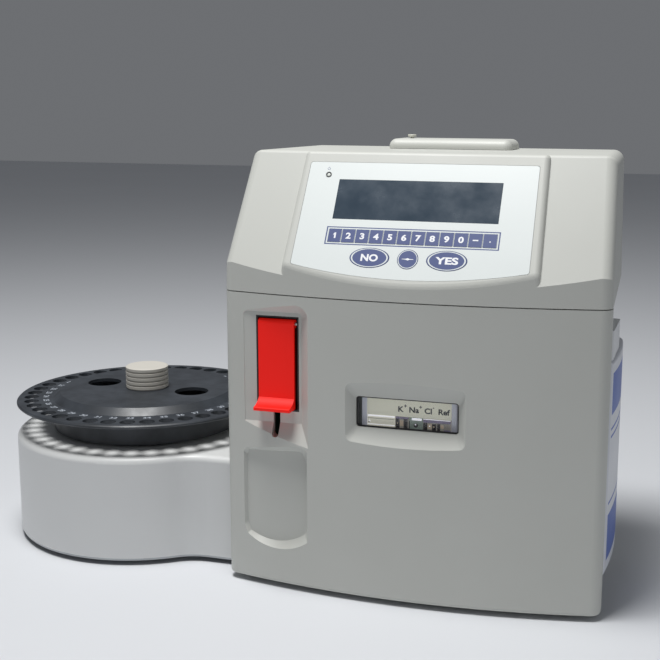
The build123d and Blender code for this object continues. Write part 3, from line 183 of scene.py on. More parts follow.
def plastic(name, color, shade=None, rough=(0.42, 0.52), grain=1800.0, strength=0.15,
            drift=12.0, metallic=0.0, coat=0.0, specular=0.5, alpha=1.0):
    """Moulded or painted surface with tone drift and grain."""
    material = bpy.data.materials.new(name)
    material.use_nodes = True
    tree = material.node_tree
    shader = tree.nodes["Principled BSDF"]
    tone = tree.nodes.new("ShaderNodeGroup")
    tone.node_tree = DRIFT
    tone.inputs["Color"].default_value = color
    tone.inputs["Shade"].default_value = shade or tuple(0.93 * part for part in color[:3]) + (1.0,)
    tone.inputs["Scale"].default_value = drift
    tone.inputs["Low"].default_value = rough[0]
    tone.inputs["High"].default_value = rough[1]
    tree.links.new(tone.outputs["Color"], shader.inputs["Base Color"])
    tree.links.new(tone.outputs["Roughness"], shader.inputs["Roughness"])
    if strength:
        texture = tree.nodes.new("ShaderNodeGroup")
        texture.node_tree = GRAIN
        texture.inputs["Scale"].default_value = grain
        texture.inputs["Strength"].default_value = strength
        tree.links.new(texture.outputs["Normal"], shader.inputs["Normal"])
    shader.inputs["Metallic"].default_value = metallic
    shader.inputs["Coat Weight"].default_value = coat
    shader.inputs["Specular IOR Level"].default_value = specular
    shader.inputs["Alpha"].default_value = alpha
    return material


# %% [markdown]
# ## The printed keypad
# The film and the key caps share one pattern in console coordinates. Every key is a
# violet field inside a white line inside a thin violet outline. Printing it in the material
# keeps it sharp and leaves film and caps flat. Half sizes are in millimetres, and the ring
# and field of an oval are shares of its half sizes.

# %%
FIELD_HALF_U, FIELD_HALF_V = 5.0, 5.5
FRAME_OUTER = (66.9, 7.5)
FRAME_INNER = (65.9, 6.6)
OVAL_HALF_U, OVAL_HALF_V, ROUND_HALF = 15.0, 8.0, 7.8
RING_OUTER, RING_INNER, OVAL_FIELD = 1.03, 0.955, 0.88
KEY_CELLS = 12


def console_coordinates(tree):
    """Sockets for millimetres across and up the console."""
    place = tree.nodes.new("ShaderNodeTexCoord")
    sockets = []
    for direction in (CONSOLE_U, CONSOLE_V):
        shift = tree.nodes.new("ShaderNodeVectorMath")
        shift.operation = "SUBTRACT"
        shift.inputs[1].default_value = CONSOLE_ORIGIN
        dot = tree.nodes.new("ShaderNodeVectorMath")
        dot.operation = "DOT_PRODUCT"
        dot.inputs[1].default_value = direction
        tree.links.new(place.outputs["Object"], shift.inputs[0])
        tree.links.new(shift.outputs["Vector"], dot.inputs[0])
        sockets.append(math_node(tree, "MULTIPLY", dot.outputs["Value"], 1000.0))
    return sockets


def inside(tree, value, limit):
    """One where value is below limit."""
    return math_node(tree, "LESS_THAN", value, limit)


def both(tree, first, second):
    """One where both masks are one."""
    return math_node(tree, "MULTIPLY", first, second)


def keypad_group():
    """Mask of everything printed in violet on the panel."""
    group, _source, target = new_group("keypad_print", [], [("Mask", "NodeSocketFloat")])
    across, up = console_coordinates(group)
    side = math_node(group, "ABSOLUTE", across)
    rise = math_node(group, "ABSOLUTE", math_node(group, "SUBTRACT", up, KEY_ROW))
    pitches = math_node(group, "DIVIDE", across, KEY_PITCH)
    cell = math_node(group, "FRACT", math_node(group, "ADD", pitches, float(KEY_CELLS)))
    from_middle = math_node(group, "ABSOLUTE", math_node(group, "SUBTRACT", cell, 0.5))
    in_cell = math_node(group, "MULTIPLY", from_middle, KEY_PITCH)
    field = both(group, inside(group, in_cell, FIELD_HALF_U), inside(group, rise, FIELD_HALF_V))
    field = both(group, field, inside(group, side, KEY_CELLS / 2 * KEY_PITCH))
    outer = both(group, inside(group, side, FRAME_OUTER[0]), inside(group, rise, FRAME_OUTER[1]))
    inner = both(group, inside(group, side, FRAME_INNER[0]), inside(group, rise, FRAME_INNER[1]))
    mask = math_node(group, "ADD", field, math_node(group, "SUBTRACT", outer, inner))
    ovals = ((-OVAL_X, OVAL_HALF_U, OVAL_HALF_V), (OVAL_X, OVAL_HALF_U, OVAL_HALF_V),
             (0.0, ROUND_HALF, ROUND_HALF))
    for middle, half_u, half_v in ovals:
        part_u = math_node(group, "DIVIDE", math_node(group, "SUBTRACT", across, middle), half_u)
        part_v = math_node(group, "DIVIDE", math_node(group, "SUBTRACT", up, OVAL_V), half_v)
        square = math_node(group, "ADD", math_node(group, "MULTIPLY", part_u, part_u),
                           math_node(group, "MULTIPLY", part_v, part_v))
        reach = math_node(group, "SQRT", square)
        in_ring, in_gap = inside(group, reach, RING_OUTER), inside(group, reach, RING_INNER)
        ring = math_node(group, "SUBTRACT", in_ring, in_gap)
        printed = math_node(group, "ADD", ring, inside(group, reach, OVAL_FIELD))
        mask = math_node(group, "ADD", mask, printed)
    mask = math_node(group, "MINIMUM", mask, 1.0)
    group.links.new(mask, target.inputs["Mask"])
    return group


def printed_film(name, base, ink, rough):
    """White film with the violet keypad print."""
    material = bpy.data.materials.new(name)
    material.use_nodes = True
    tree = material.node_tree
    shader = tree.nodes["Principled BSDF"]
    mask = tree.nodes.new("ShaderNodeGroup")
    mask.node_tree = KEYPAD
    mix = tree.nodes.new("ShaderNodeMix")
    mix.data_type = "RGBA"
    mix.inputs["A"].default_value = base
    mix.inputs["B"].default_value = ink
    tree.links.new(mask.outputs["Mask"], mix.inputs["Factor"])
    tone = tree.nodes.new("ShaderNodeGroup")
    tone.node_tree = DRIFT
    tone.inputs["Scale"].default_value = 9.0
    tone.inputs["Low"].default_value = rough[0]
    tone.inputs["High"].default_value = rough[1]
    tree.links.new(mix.outputs["Result"], tone.inputs["Color"])
    tree.links.new(mix.outputs["Result"], tone.inputs["Shade"])
    tree.links.new(tone.outputs["Color"], shader.inputs["Base Color"])
    tree.links.new(tone.outputs["Roughness"], shader.inputs["Roughness"])
    texture = tree.nodes.new("ShaderNodeGroup")
    texture.node_tree = GRAIN
    texture.inputs["Scale"].default_value = 2600.0
    texture.inputs["Strength"].default_value = 0.06
    tree.links.new(texture.outputs["Normal"], shader.inputs["Normal"])
    return material


PACK_BANDS = [(154, 186), (142, 144), (136, 138), (40, 76), (84, 86)]
PACK_HALF_DEPTH, PACK_MIDDLE = 41.0, -37.3


def label_group(bands, half_depth, middle):
    """Mask of printed bands on an upright pack: heights in millimetres, away from its edges."""
    group, _source, target = new_group("pack_label", [], [("Mask", "NodeSocketFloat")])
    place = group.nodes.new("ShaderNodeTexCoord")
    split = group.nodes.new("ShaderNodeSeparateXYZ")
    group.links.new(place.outputs["Object"], split.inputs["Vector"])
    depth = math_node(group, "MULTIPLY", split.outputs["Y"], 1000.0)
    height = math_node(group, "MULTIPLY", split.outputs["Z"], 1000.0)
    from_middle = math_node(group, "ABSOLUTE", math_node(group, "SUBTRACT", depth, middle))
    mask = None
    for low, high in bands:
        rise = math_node(group, "ABSOLUTE", math_node(group, "SUBTRACT", height, (low + high) / 2))
        band = inside(group, rise, (high - low) / 2)
        mask = band if mask is None else math_node(group, "ADD", mask, band)
    mask = both(group, mask, inside(group, from_middle, half_depth))
    group.links.new(mask, target.inputs["Mask"])
    return group


def pack_material():
    """White pack with blue printed bands and a few thin lines."""
    material = plastic("pack_white", srgb(222, 224, 228), srgb(208, 211, 220), (0.35, 0.45), 1500.0, 0.08)
    tree = material.node_tree
    tone = next(node for node in tree.nodes if node.type == "GROUP" and node.node_tree == DRIFT)
    mask = tree.nodes.new("ShaderNodeGroup")
    mask.node_tree = label_group(PACK_BANDS, PACK_HALF_DEPTH, PACK_MIDDLE)
    mix = tree.nodes.new("ShaderNodeMix")
    mix.data_type = "RGBA"
    mix.inputs["B"].default_value = srgb(38, 84, 176)
    tree.links.new(tone.outputs["Color"], mix.inputs["A"])
    tree.links.new(mask.outputs["Mask"], mix.inputs["Factor"])
    tree.links.new(mix.outputs["Result"], tree.nodes["Principled BSDF"].inputs["Base Color"])
    return material


def cell_material(name, base, shade, alpha):
    """Clear cell with streaks and darker blots of what it holds."""
    material = plastic(name, base, shade, (0.08, 0.2), 900.0, 0.0, drift=160.0, alpha=alpha)
    material.node_tree.nodes["Principled BSDF"].inputs["IOR"].default_value = 1.49
    return material


def glow(material, color, strength):
    """Give a material a little light of its own: painted light on a part that is no lamp."""
    shader = material.node_tree.nodes["Principled BSDF"]
    shader.inputs["Emission Color"].default_value = color
    shader.inputs["Emission Strength"].default_value = strength
    return material


KEYPAD = keypad_group()
INK = srgb(76, 88, 134)
FILM_WHITE = srgb(222, 227, 226)

# %% [markdown]
# ## Materials
# The casing is a warm light grey plastic with a fine grain, the sampler is whiter and
# smoother, and the tray is a dark slate with a soft gloss. Each is the same shader with its
# own tones, roughness and grain, so one function makes them all. The red flap, the label
# plate, the posts, the clear cells and their contacts get a little painted light of their own,
# which brightens them beyond what the lamps give; white strips on the cells are painted highlights.

# %%
MATERIALS = {
    "casing": plastic("casing_grey", srgb(198, 199, 194), srgb(192, 193, 187), (0.44, 0.54), 1500.0, 0.18),
    "sheet": plastic("casing_sheet", srgb(196, 197, 191), srgb(189, 190, 184), (0.42, 0.52), 900.0, 0.25),
    "film": printed_film("front_film", FILM_WHITE, INK, (0.30, 0.40)),
    "rubber": plastic("foot_rubber", srgb(32, 32, 33), None, (0.7, 0.8), 900.0, 0.3),
    "steel": plastic("steel", srgb(190, 190, 190), None, (0.22, 0.32), 900.0, 0.05, metallic=1.0),
    "zinc": plastic("zinc_sheet", srgb(176, 178, 180), srgb(160, 163, 166), (0.34, 0.5), 500.0, 0.05,
                    metallic=1.0),
    "board": plastic("board_green", srgb(20, 84, 52), srgb(14, 70, 42), (0.35, 0.45), 900.0, 0.1),
    "black": plastic("black_plastic", srgb(22, 22, 24), None, (0.38, 0.5), 1500.0, 0.15),
    "paper": plastic("paper", srgb(238, 238, 232), None, (0.75, 0.85), 2200.0, 0.1),
    "roller": plastic("roller_rubber", srgb(48, 48, 48), None, (0.6, 0.7), 1200.0, 0.2),
    # Painted light: the red flap shines a little of its own so that it looks brighter.
    "flap": glow(plastic("flap_red", srgb(240, 24, 12), srgb(232, 20, 10), (0.42, 0.5), 1500.0, 0.05,
                         specular=0.28), srgb(236, 30, 20), 0.24),
    "rack": plastic("rack_white", srgb(208, 208, 196), None, (0.45, 0.55), 1500.0, 0.1),
    # Painted light: the label plate shines a little of its own, in place of light that the window's top keeps
    # off it.
    "plate": glow(plastic("label_plate", srgb(238, 237, 218), srgb(230, 229, 210), (0.45, 0.55),
                          1500.0, 0.06), srgb(238, 236, 218), 0.14),
    "motor": plastic("motor_black", srgb(40, 40, 43), None, (0.4, 0.5), 900.0, 0.1, metallic=0.6),
    "tube": plastic("tube", srgb(226, 214, 180), None, (0.4, 0.5), 900.0, 0.05),
    "pack": pack_material(),
    "fittings": plastic("fittings_white", srgb(224, 226, 228), None, (0.35, 0.45), 1500.0, 0.08),
    "sampler": plastic("sampler_white", srgb(220, 221, 220), srgb(213, 214, 214), (0.34, 0.42), 1500.0, 0.08),
    "tray": plastic("tray_slate", srgb(70, 75, 82), srgb(14, 17, 22), (0.34, 0.48), 1500.0, 0.08, drift=44.0),
    "knob": plastic("knob_ivory", srgb(208, 204, 196), srgb(199, 195, 186), (0.42, 0.52), 1500.0, 0.12),
    "gear": plastic("gear_white", srgb(226, 224, 214), None, (0.4, 0.5), 1500.0, 0.08),
    "brass": plastic("brass", srgb(200, 160, 90), None, (0.25, 0.35), 900.0, 0.05, metallic=1.0),
    "lamp": plastic("lamp", srgb(226, 230, 224), None, (0.12, 0.2), 900.0, 0.0, coat=0.6),
    "ink_white": plastic("mark_white", srgb(244, 245, 248), None, (0.4, 0.5), 900.0, 0.0),
    "ink_dark": plastic("mark_dark", srgb(40, 42, 46), None, (0.4, 0.5), 900.0, 0.0),
    "ink_blue": plastic("mark_blue", INK, None, (0.4, 0.5), 900.0, 0.0),
    # Painted highlights: white strips and dots that shine, in place of glare on the clear cells.
    "glare": glow(plastic("painted_glare_white", srgb(252, 252, 255), srgb(226, 226, 240), (0.1, 0.2), 900.0, 0.0,
                          drift=260.0), srgb(250, 250, 255), 0.5),
    "core": plastic("cell_core", srgb(64, 50, 54), srgb(24, 20, 26), (0.2, 0.3), 900.0, 0.0, drift=420.0),
    # Painted light: the contacts, the detector, the tinted cells and the posts below each shine a little of
    # their own.
    "contact": glow(plastic("cell_contact", srgb(224, 204, 176), srgb(150, 122, 104), (0.3, 0.4), 900.0, 0.0,
                            drift=420.0), srgb(222, 204, 180), 0.16),
    "detector": glow(cell_material("detector_cream", srgb(236, 234, 218), srgb(214, 212, 202), 0.94),
                     srgb(232, 230, 214), 0.26),
    "cell_violet": glow(cell_material("cell_violet", srgb(140, 132, 160), srgb(100, 92, 116), 0.92),
                        srgb(140, 130, 165), 0.14),
    "cell_green": glow(cell_material("cell_green", srgb(150, 166, 156), srgb(104, 118, 112), 0.92),
                       srgb(150, 165, 155), 0.14),
    "cell_grey": glow(cell_material("cell_grey", srgb(176, 172, 164), srgb(126, 122, 118), 0.92),
                      srgb(176, 170, 160), 0.14),
    "post": glow(plastic("post_grey", srgb(208, 210, 222), None, (0.35, 0.45), 900.0, 0.05),
                 srgb(205, 208, 222), 0.12),
    "tray_print": plastic("tray_print", srgb(178, 184, 192), srgb(150, 156, 166), (0.4, 0.5), 900.0, 0.0),
}


def display_material():
    """Dark slate display glass with faint smudges."""
    material = plastic("display_glass", srgb(48, 60, 72), srgb(62, 76, 90), (0.16, 0.30), 900.0, 0.0,
                       drift=52.0, specular=0.35)
    shader = material.node_tree.nodes["Principled BSDF"]
    shader.inputs["Coat Weight"].default_value = 0.25
    shader.inputs["Coat Roughness"].default_value = 0.06
    return material


def clear_material(name, color, alpha, rough):
    material = plastic(name, color, None, (rough, rough + 0.06), 900.0, 0.0, alpha=alpha)
    material.node_tree.nodes["Principled BSDF"].inputs["IOR"].default_value = 1.49
    return material


MATERIALS["display"] = display_material()
MATERIALS["pane"] = clear_material("pane_clear", srgb(236, 240, 240), 0.05, 0.05)

NODE_MATERIAL = {
    "rubber_feet": "rubber", "base_plate": "zinc", "left_panel": "sheet", "right_panel": "sheet",
    "rear_panel": "sheet", "front_casing": "casing", "top_cover": "casing", "panel_overlay": "film",
    "keypad_circuit": "board", "display_window": "display", "display_module": "board",
    "power_led": "lamp", "printer_cover": "casing", "cover_knob": "rack", "printer_mechanism": "black",
    "paper_roll": "paper", "platen_roller": "roller", "flap_housing": "black", "flap_pin": "steel",
    "sample_flap": "flap", "sample_probe": "steel", "window_pane": "pane", "electrode_rack": "post",
    "label_plate": "plate", "sample_detector": "detector", "electrode_potassium": "cell_grey",
    "electrode_sodium": "cell_green", "electrode_chloride": "cell_grey", "electrode_reference": "cell_grey",
    "pump_motor": "motor", "pump_rotor": "gear", "pump_tube": "tube", "main_board": "board",
    "power_supply": "zinc", "power_inlet": "black", "power_switch": "black", "reagent_pack": "pack",
    "pack_fittings": "fittings", "sampler_housing": "sampler", "sampler_base": "zinc",
    "sample_tray": "tray", "tray_knob": "knob", "tray_spindle": "gear", "motor_pinion": "brass",
    "tray_motor": "motor", "no_key": "film", "yes_key": "film", "round_key": "film",
    "key_minus": "film", "key_point": "film",
}
for digit in range(10):
    NODE_MATERIAL[f"key_{digit}"] = "film"

for node, kind in NODE_MATERIAL.items():
    mesh = nodes[node].data
    mesh.materials.clear()
    mesh.materials.append(MATERIALS[kind])
print("nodes without a material:", sorted(set(nodes) - set(NODE_MATERIAL)))

# %% [markdown]
# ## Piece helpers
# A mesh piece is built from points and faces in the model's own frame. Text is set as a
# curve, thickened a little, turned into a mesh and laid on its plane.

# %%
def piece(name, points, faces, material, body):
    """New mesh object that rides on a CAD body."""
    mesh = bpy.data.meshes.new(name)
    mesh.from_pydata([tuple(point) for point in points], [], [tuple(face) for face in faces])
    mesh.materials.append(MATERIALS[material])
    mesh.update()
    thing = bpy.data.objects.new(name, mesh)
    bpy.context.collection.objects.link(thing)
    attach(thing, body)
    return thing


def text_points(text, size, weight=0.0, thick=0.03, wide=1.0):
    """Points and faces of a word in its own plane, centred, in metres."""
    curve = bpy.data.curves.new("word", "FONT")
    curve.body = text
    curve.size = size * MM
    curve.offset = weight * MM
    curve.extrude = thick * MM
    curve.align_x = "CENTER"
    curve.align_y = "CENTER"
    curve.resolution_u = 6
    word = bpy.data.objects.new("word", curve)
    bpy.context.collection.objects.link(word)
    bpy.context.view_layer.update()
    mesh = bpy.data.meshes.new_from_object(word.evaluated_get(bpy.context.evaluated_depsgraph_get()))
    points = np.array([vertex.co for vertex in mesh.vertices], float).reshape(-1, 3)
    faces = [tuple(polygon.vertices) for polygon in mesh.polygons]
    bpy.data.objects.remove(word)
    bpy.data.curves.remove(curve)
    bpy.data.meshes.remove(mesh)
    points[:, :2] -= (points[:, :2].min(0) + points[:, :2].max(0)) / 2
    points[:, 0] *= wide
    return points, faces


def placed(points, matrix):
    """Points moved by a matrix."""
    spin = np.array(matrix.to_3x3())
    return points @ spin.T + np.array(matrix.translation)


def joined(groups):
    """Merge several lists of points and faces."""
    points, faces = [], []
    for some_points, some_faces in groups:
        start = sum(len(part) for part in points)
        points.append(some_points)
        faces += [tuple(index + start for index in face) for face in some_faces]
    return np.concatenate(points), faces


def slab(outline, low, high):
    """Prism over an outline of x, y pairs, in its own plane."""
    count = len(outline)
    flat = np.array(outline, float)
    points = np.concatenate([np.c_[flat, np.full(count, low)], np.c_[flat, np.full(count, high)]])
    faces = [tuple(range(count - 1, -1, -1)), tuple(range(count, 2 * count))]
    faces += [(i, (i + 1) % count, (i + 1) % count + count, i + count) for i in range(count)]
    return points, faces


def rectangle(left, right, low, high):
    """Outline of a rectangle given in millimetres."""
    return [(left * MM, low * MM), (right * MM, low * MM), (right * MM, high * MM), (left * MM, high * MM)]


def disc(radius, count=32, x=0.0, y=0.0):
    """Outline of a circle about x and y, in millimetres: x + radius cos a, y + radius sin a."""
    angles = np.linspace(0, 2 * pi, count, endpoint=False)
    return np.c_[x + radius * np.cos(angles), y + radius * np.sin(angles)] * MM


def turned_points(profile, count):
    """Profile of radius and height turned about the normal: r cos a, r sin a, z, row by row."""
    angles = np.linspace(0, 2 * pi, count, endpoint=False)
    radius, height = np.array(profile, float).T
    rows = (np.outer(radius, np.cos(angles)), np.outer(radius, np.sin(angles)),
            np.outer(height, np.ones(count)))
    return np.stack(rows, axis=-1).reshape(-1, 3) * MM


def band_faces(first, second, count):
    """Quads between two closed rows of points that start at the indices first and second."""
    here = np.arange(count)
    ahead = (here + 1) % count
    return np.stack([first + here, first + ahead, second + ahead, second + here], axis=1).tolist()


# %% [markdown]
# ## Marks on the keys
# Each mark rides on its own key, so it moves when the key is pressed. A mark stands a
# hair above its key's face. Digit 1 is drawn point by point, because the font's own is too
# slim. Its outline runs against the clock, so that its faces point outwards.

# %%
KEY_FACE = 0.25
TEXT_HALF, PRINT_THICK = 0.02, 0.04
KEY_TOP = KEY_FACE + TEXT_HALF


def mark_piece(name, points, faces, u, v, key, height=KEY_TOP):
    """White mark at u and v of the console that rides on its key."""
    matrix = console_matrix(u, v, height)
    return piece(name, placed(points, matrix), faces, "ink_white", f"{key}_cap")


ONE = [(-1.15, 0.25), (-0.35, 0.75), (-0.35, -2.35), (0.95, -2.35),
       (0.95, 2.35), (-0.1, 2.35), (-1.15, 1.0)]
for index, digit in enumerate("1234567890"):
    u = (index - 5.5) * KEY_PITCH
    if digit == "1":
        points, faces = slab([(x * MM, y * MM) for x, y in ONE], -TEXT_HALF * MM, TEXT_HALF * MM)
    else:
        points, faces = text_points(digit, 6.7, 0.24, TEXT_HALF, 1.2)
    mark_piece(f"mark_{digit}", points, faces, u, KEY_ROW, f"key_{digit}")
points, faces = slab(rectangle(-2.1, 2.1, -0.5, 0.5), 0, PRINT_THICK * MM)
mark_piece("mark_minus", points, faces, 4.5 * KEY_PITCH, KEY_ROW, "key_minus", KEY_FACE)
points, faces = slab(disc(0.55, 20), 0, PRINT_THICK * MM)
mark_piece("mark_point", points, faces, 5.5 * KEY_PITCH, KEY_ROW - 0.8, "key_point", KEY_FACE)
points, faces = text_points("NO", 7.6, 0.28, TEXT_HALF, 1.12)
mark_piece("mark_no", points, faces, -OVAL_X, OVAL_V, "no_key")
points, faces = text_points("YES", 7.6, 0.28, TEXT_HALF, 1.4)
mark_piece("mark_yes", points, faces, OVAL_X, OVAL_V, "yes_key")
arrow = [(-4.4, -0.16), (-1.6, -0.3), (0, -0.95), (1.6, -0.3), (4.4, -0.16),
         (4.4, 0.16), (1.6, 0.3), (0, 0.95), (-1.6, 0.3), (-4.4, 0.16)]
points, faces = slab([(x * MM, y * MM) for x, y in arrow], 0, PRINT_THICK * MM)
mark_piece("mark_round", points, faces, 0.0, OVAL_V, "round_key", KEY_FACE)

# %% [markdown]
# ## Lamp mark
# A small stroke and arc above the lamp stand for power; a dark collar frames the lamp.

# %%
LAMP_U, LAMP_V = -73.5, 90.5


def ring(inner, outer, low, high, count=48):
    """Round collar in its own plane, in millimetres."""
    corners = ((inner, low), (outer, low), (outer, high), (inner, high))
    faces = []
    for k in range(4):
        faces += band_faces(k * count, (k + 1) % 4 * count, count)
    return turned_points(corners, count), faces


def arc_stroke(radius, width, start, stop, thick, count=24):
    """Open arc of flat quads with one outline per step, in millimetres."""
    angles = [radians(start + (stop - start) * i / count) for i in range(count + 1)]
    groups = []
    for first, second in zip(angles[:-1], angles[1:]):
        quad = [(r * cos(a) * MM, r * sin(a) * MM) for r, a in
                ((radius, first), (radius + width, first), (radius + width, second), (radius, second))]
        groups.append(slab(quad, 0, thick * MM))
    return groups


groups = arc_stroke(0.95, 0.3, 130, 410, 0.03)
groups.append(slab(rectangle(-0.15, 0.15, 0.2, 1.6), 0, 0.03 * MM))
points, faces = joined(groups)
piece("lamp_mark", placed(points, console_matrix(LAMP_U - 0.6, LAMP_V + 5.2, 0.0)), faces,
      "ink_blue", "analyzer")
points, faces = ring(1.62, 2.3, 0.0, 0.3)
piece("lamp_collar", placed(points, console_matrix(LAMP_U, LAMP_V, 0.0)), faces,
      "ink_dark", "analyzer")

# %% [markdown]
# ## Numbers on the tray
# Forty numbers stand inside the ring of holes, read from the rim. They are one piece,
# which rides on the tray and turns with it.

# %%
RIM_TOP = 120.3 * MM
CUPS, NUMBER_RADIUS = 40, 89.4
groups = []
for number in range(1, CUPS + 1):
    angle = 2 * pi * (number - 1) / CUPS
    out = Vector((cos(angle), sin(angle), 0))
    up = -out
    across = up.cross(Vector((0, 0, 1)))
    matrix = plane_matrix(Vector((TRAY_X, TRAY_Y, RIM_TOP)) + out * NUMBER_RADIUS * MM, across, up)
    points, faces = text_points(str(number), 6.6, 0.16, 0.03, 1.05)
    groups.append((placed(points, matrix), faces))
points, faces = joined(groups)
piece("tray_numbers", points, faces, "tray_print", "tray")
print("tray number points", len(points))

# %% [markdown]
# ## Labels above the electrodes
# The ion names stand on the plate above each cell, with the charge raised beside the name.

# %%
LABEL_Z, CHARGE_Z, CHARGE_GAP = 152.6, 155.3, 1.2
ION_LABELS = (("K", "+", -5.3), ("Na", "+", 5.0), ("Cl", "-", 16.0), ("Ref", "", 28.4))
PLATE_Y = UNIT_Y - 0.5 * MM
FRONT = plane_matrix(Vector((0, 0, 0)), Vector((1, 0, 0)), Vector((0, 0, 1)))


def front_matrix(x, y, z):
    """Upright plane that faces the front, through x, y and z in metres."""
    matrix = FRONT.copy()
    matrix.translation = (x, y, z)
    return matrix


groups = []
for word, charge, x in ION_LABELS:
    points, faces = text_points(word, 5.9, 0.2, TEXT_HALF, 1.1)
    groups.append((placed(points, front_matrix(UNIT_X + x * MM, PLATE_Y, LABEL_Z * MM)), faces))
    half = points[:, 0].max()
    if charge:
        points, faces = text_points(charge, 4.0, 0.13, TEXT_HALF, 1.0)
        charge_x = UNIT_X + x * MM + half + CHARGE_GAP * MM
        groups.append((placed(points, front_matrix(charge_x, PLATE_Y, CHARGE_Z * MM)), faces))
points, faces = joined(groups)
piece("ion_labels", points, faces, "ink_dark", "analyzer")

# %% [markdown]
# ## Inside the electrode cells
# Thin inlays on the cells' faces show the dark cores, the contacts and the sample bore, and
# white inlays paint the highlights on the clear blocks. A dark frame lines the window opening.
# Plates of 0.04 mm in four layers are enough, because the cells are seen only through the pane.

# %%
CELL_FACE = 0.5
INLAY = 0.05


def inlay(name, material, boxes, layer=1, dots=()):
    """Thin plates on the cells' front, given by left, right, low and high, and round dots."""
    groups = []
    matrix = front_matrix(UNIT_X, UNIT_Y + (CELL_FACE - INLAY * layer) * MM, 0.0)
    for left, right, low, high in boxes:
        points, faces = slab(rectangle(left, right, low, high), -0.4 * INLAY * MM, 0.4 * INLAY * MM)
        groups.append((placed(points, matrix), faces))
    for x, z, radius in dots:
        points, faces = slab(disc(radius, 24, x, z), -0.4 * INLAY * MM, 0.4 * INLAY * MM)
        groups.append((placed(points, matrix), faces))
    points, faces = joined(groups)
    return piece(name, points, faces, material, "analyzer")


inlay("cell_cores", "core",
      [(-9.7, -6.6, 136.6, 145.0), (-3.4, -0.3, 136.2, 144.8), (0.7, 1.4, 136.0, 143.6),
       (12.0, 15.2, 136.2, 143.2), (18.9, 22.0, 136.6, 142.6), (22.9, 25.2, 137.4, 143.0)])
inlay("cell_contacts", "contact",
      [(-6.4, -3.6, 139.2, 143.6), (15.4, 18.7, 138.6, 142.4), (25.4, 28.0, 139.6, 142.2)], 2,
      [(-8.2, 141.2, 0.5), (20.2, 140.4, 0.6)])
inlay("cell_bands", "cell_violet",
      [(-9.8, 0.4, 144.8, 146.4), (12.0, 33.2, 143.4, 145.6), (28.2, 33.2, 136.4, 138.6)], 2)
inlay("cell_bores", "core", [(-31.9, 33.1, 135.9, 136.5), (-31.9, -10.5, 143.5, 143.8)], 3,
      [(6.2, 140.4, 1.7), (-31.0, 140.6, 0.5)])
# Painted highlights: white strips and dots for the glare on the clear blocks.
inlay("cell_painted_glare", "glare",
      [(-31.9, -10.4, 145.2, 146.3), (3.0, 10.8, 144.4, 146.2), (-31.9, -10.4, 138.6, 139.2),
       (2.0, 11.0, 137.0, 137.5), (12.0, 33.1, 145.7, 146.2)], 4,
      [(6.0, 141.1, 0.6), (-30.4, 141.4, 0.7), (17.0, 140.8, 0.5)])


def rounded(half_u, half_v, radius, steps=6):
    """Outline of a rounded rectangle: a quarter circle about each corner's middle, in millimetres."""
    angles = (np.arange(4)[:, None] + np.arange(steps + 1) / steps) * pi / 2
    sign_u = np.array([1, -1, -1, 1])[:, None]
    sign_v = np.array([1, 1, -1, -1])[:, None]
    across = sign_u * (half_u - radius) + radius * np.cos(angles)
    rise = sign_v * (half_v - radius) + radius * np.sin(angles)
    return np.stack([across, rise], axis=-1).reshape(-1, 2)


def gasket(name, half_u, half_v, radius, width, front, back):
    """Dark frame lining an opening, with its outer outline given by half sizes."""
    outer = rounded(half_u, half_v, radius)
    inner = rounded(half_u - width, half_v - width, radius - width)
    count = len(outer)
    rows = [(outer, back), (outer, front), (inner, front), (inner, back)]
    points = np.concatenate([np.c_[row, np.full(count, depth)] for row, depth in rows]) * MM
    faces = []
    for k in range(4):
        faces += band_faces(k * count, (k + 1) % 4 * count, count)
    matrix = front_matrix(UNIT_X + WINDOW_X * MM, UNIT_Y, WINDOW_Z * MM)
    return piece(name, placed(points, matrix), faces, "black", "analyzer")


WINDOW_X, WINDOW_Z, WINDOW_HALF_U, WINDOW_HALF_V = 1.5, 150.5, 40.0, 12.0
# A dark frame lines the edge of the window opening.
gasket("window_dark_lining", WINDOW_HALF_U - 0.05, WINDOW_HALF_V - 0.05, 2.45, 1.0, 7.6, 6.05)

# %% [markdown]
# ## Screws on the rear
# Pan-head screws with a cross recess hold the rear panel along its edges. A head is a
# profile turned about its axis, and its recess is two dark bars that reach just above it.

# %%
REAR_FACE = UNIT_Y + 188.0 * MM
REAR_LEFT, REAR_RIGHT, REAR_LOW, REAR_TOP = -140.0, 126.0, 6.0, 237.4
SCREW_INSET, SCREW_RADIUS, SCREW_HEIGHT = 8.0, 2.9, 1.5
RECESS_FLOOR, RECESS_PROUD = 1.3, 0.03


def turned(profile, count=24):
    """Profile of radius and height turned about the normal: r cos a, r sin a, z, capped at both ends."""
    faces = []
    for k in range(len(profile) - 1):
        faces += band_faces(k * count, (k + 1) * count, count)
    faces.append(tuple(range(count - 1, -1, -1)))
    faces.append(tuple(range((len(profile) - 1) * count, len(profile) * count)))
    return turned_points(profile, count), faces


def rear_matrix(x, z):
    """Plane on the rear panel that faces backwards, x and z in the unit's millimetres."""
    origin = Vector((UNIT_X + x * MM, REAR_FACE, z * MM))
    return plane_matrix(origin, Vector((-1, 0, 0)), Vector((0, 0, 1)))


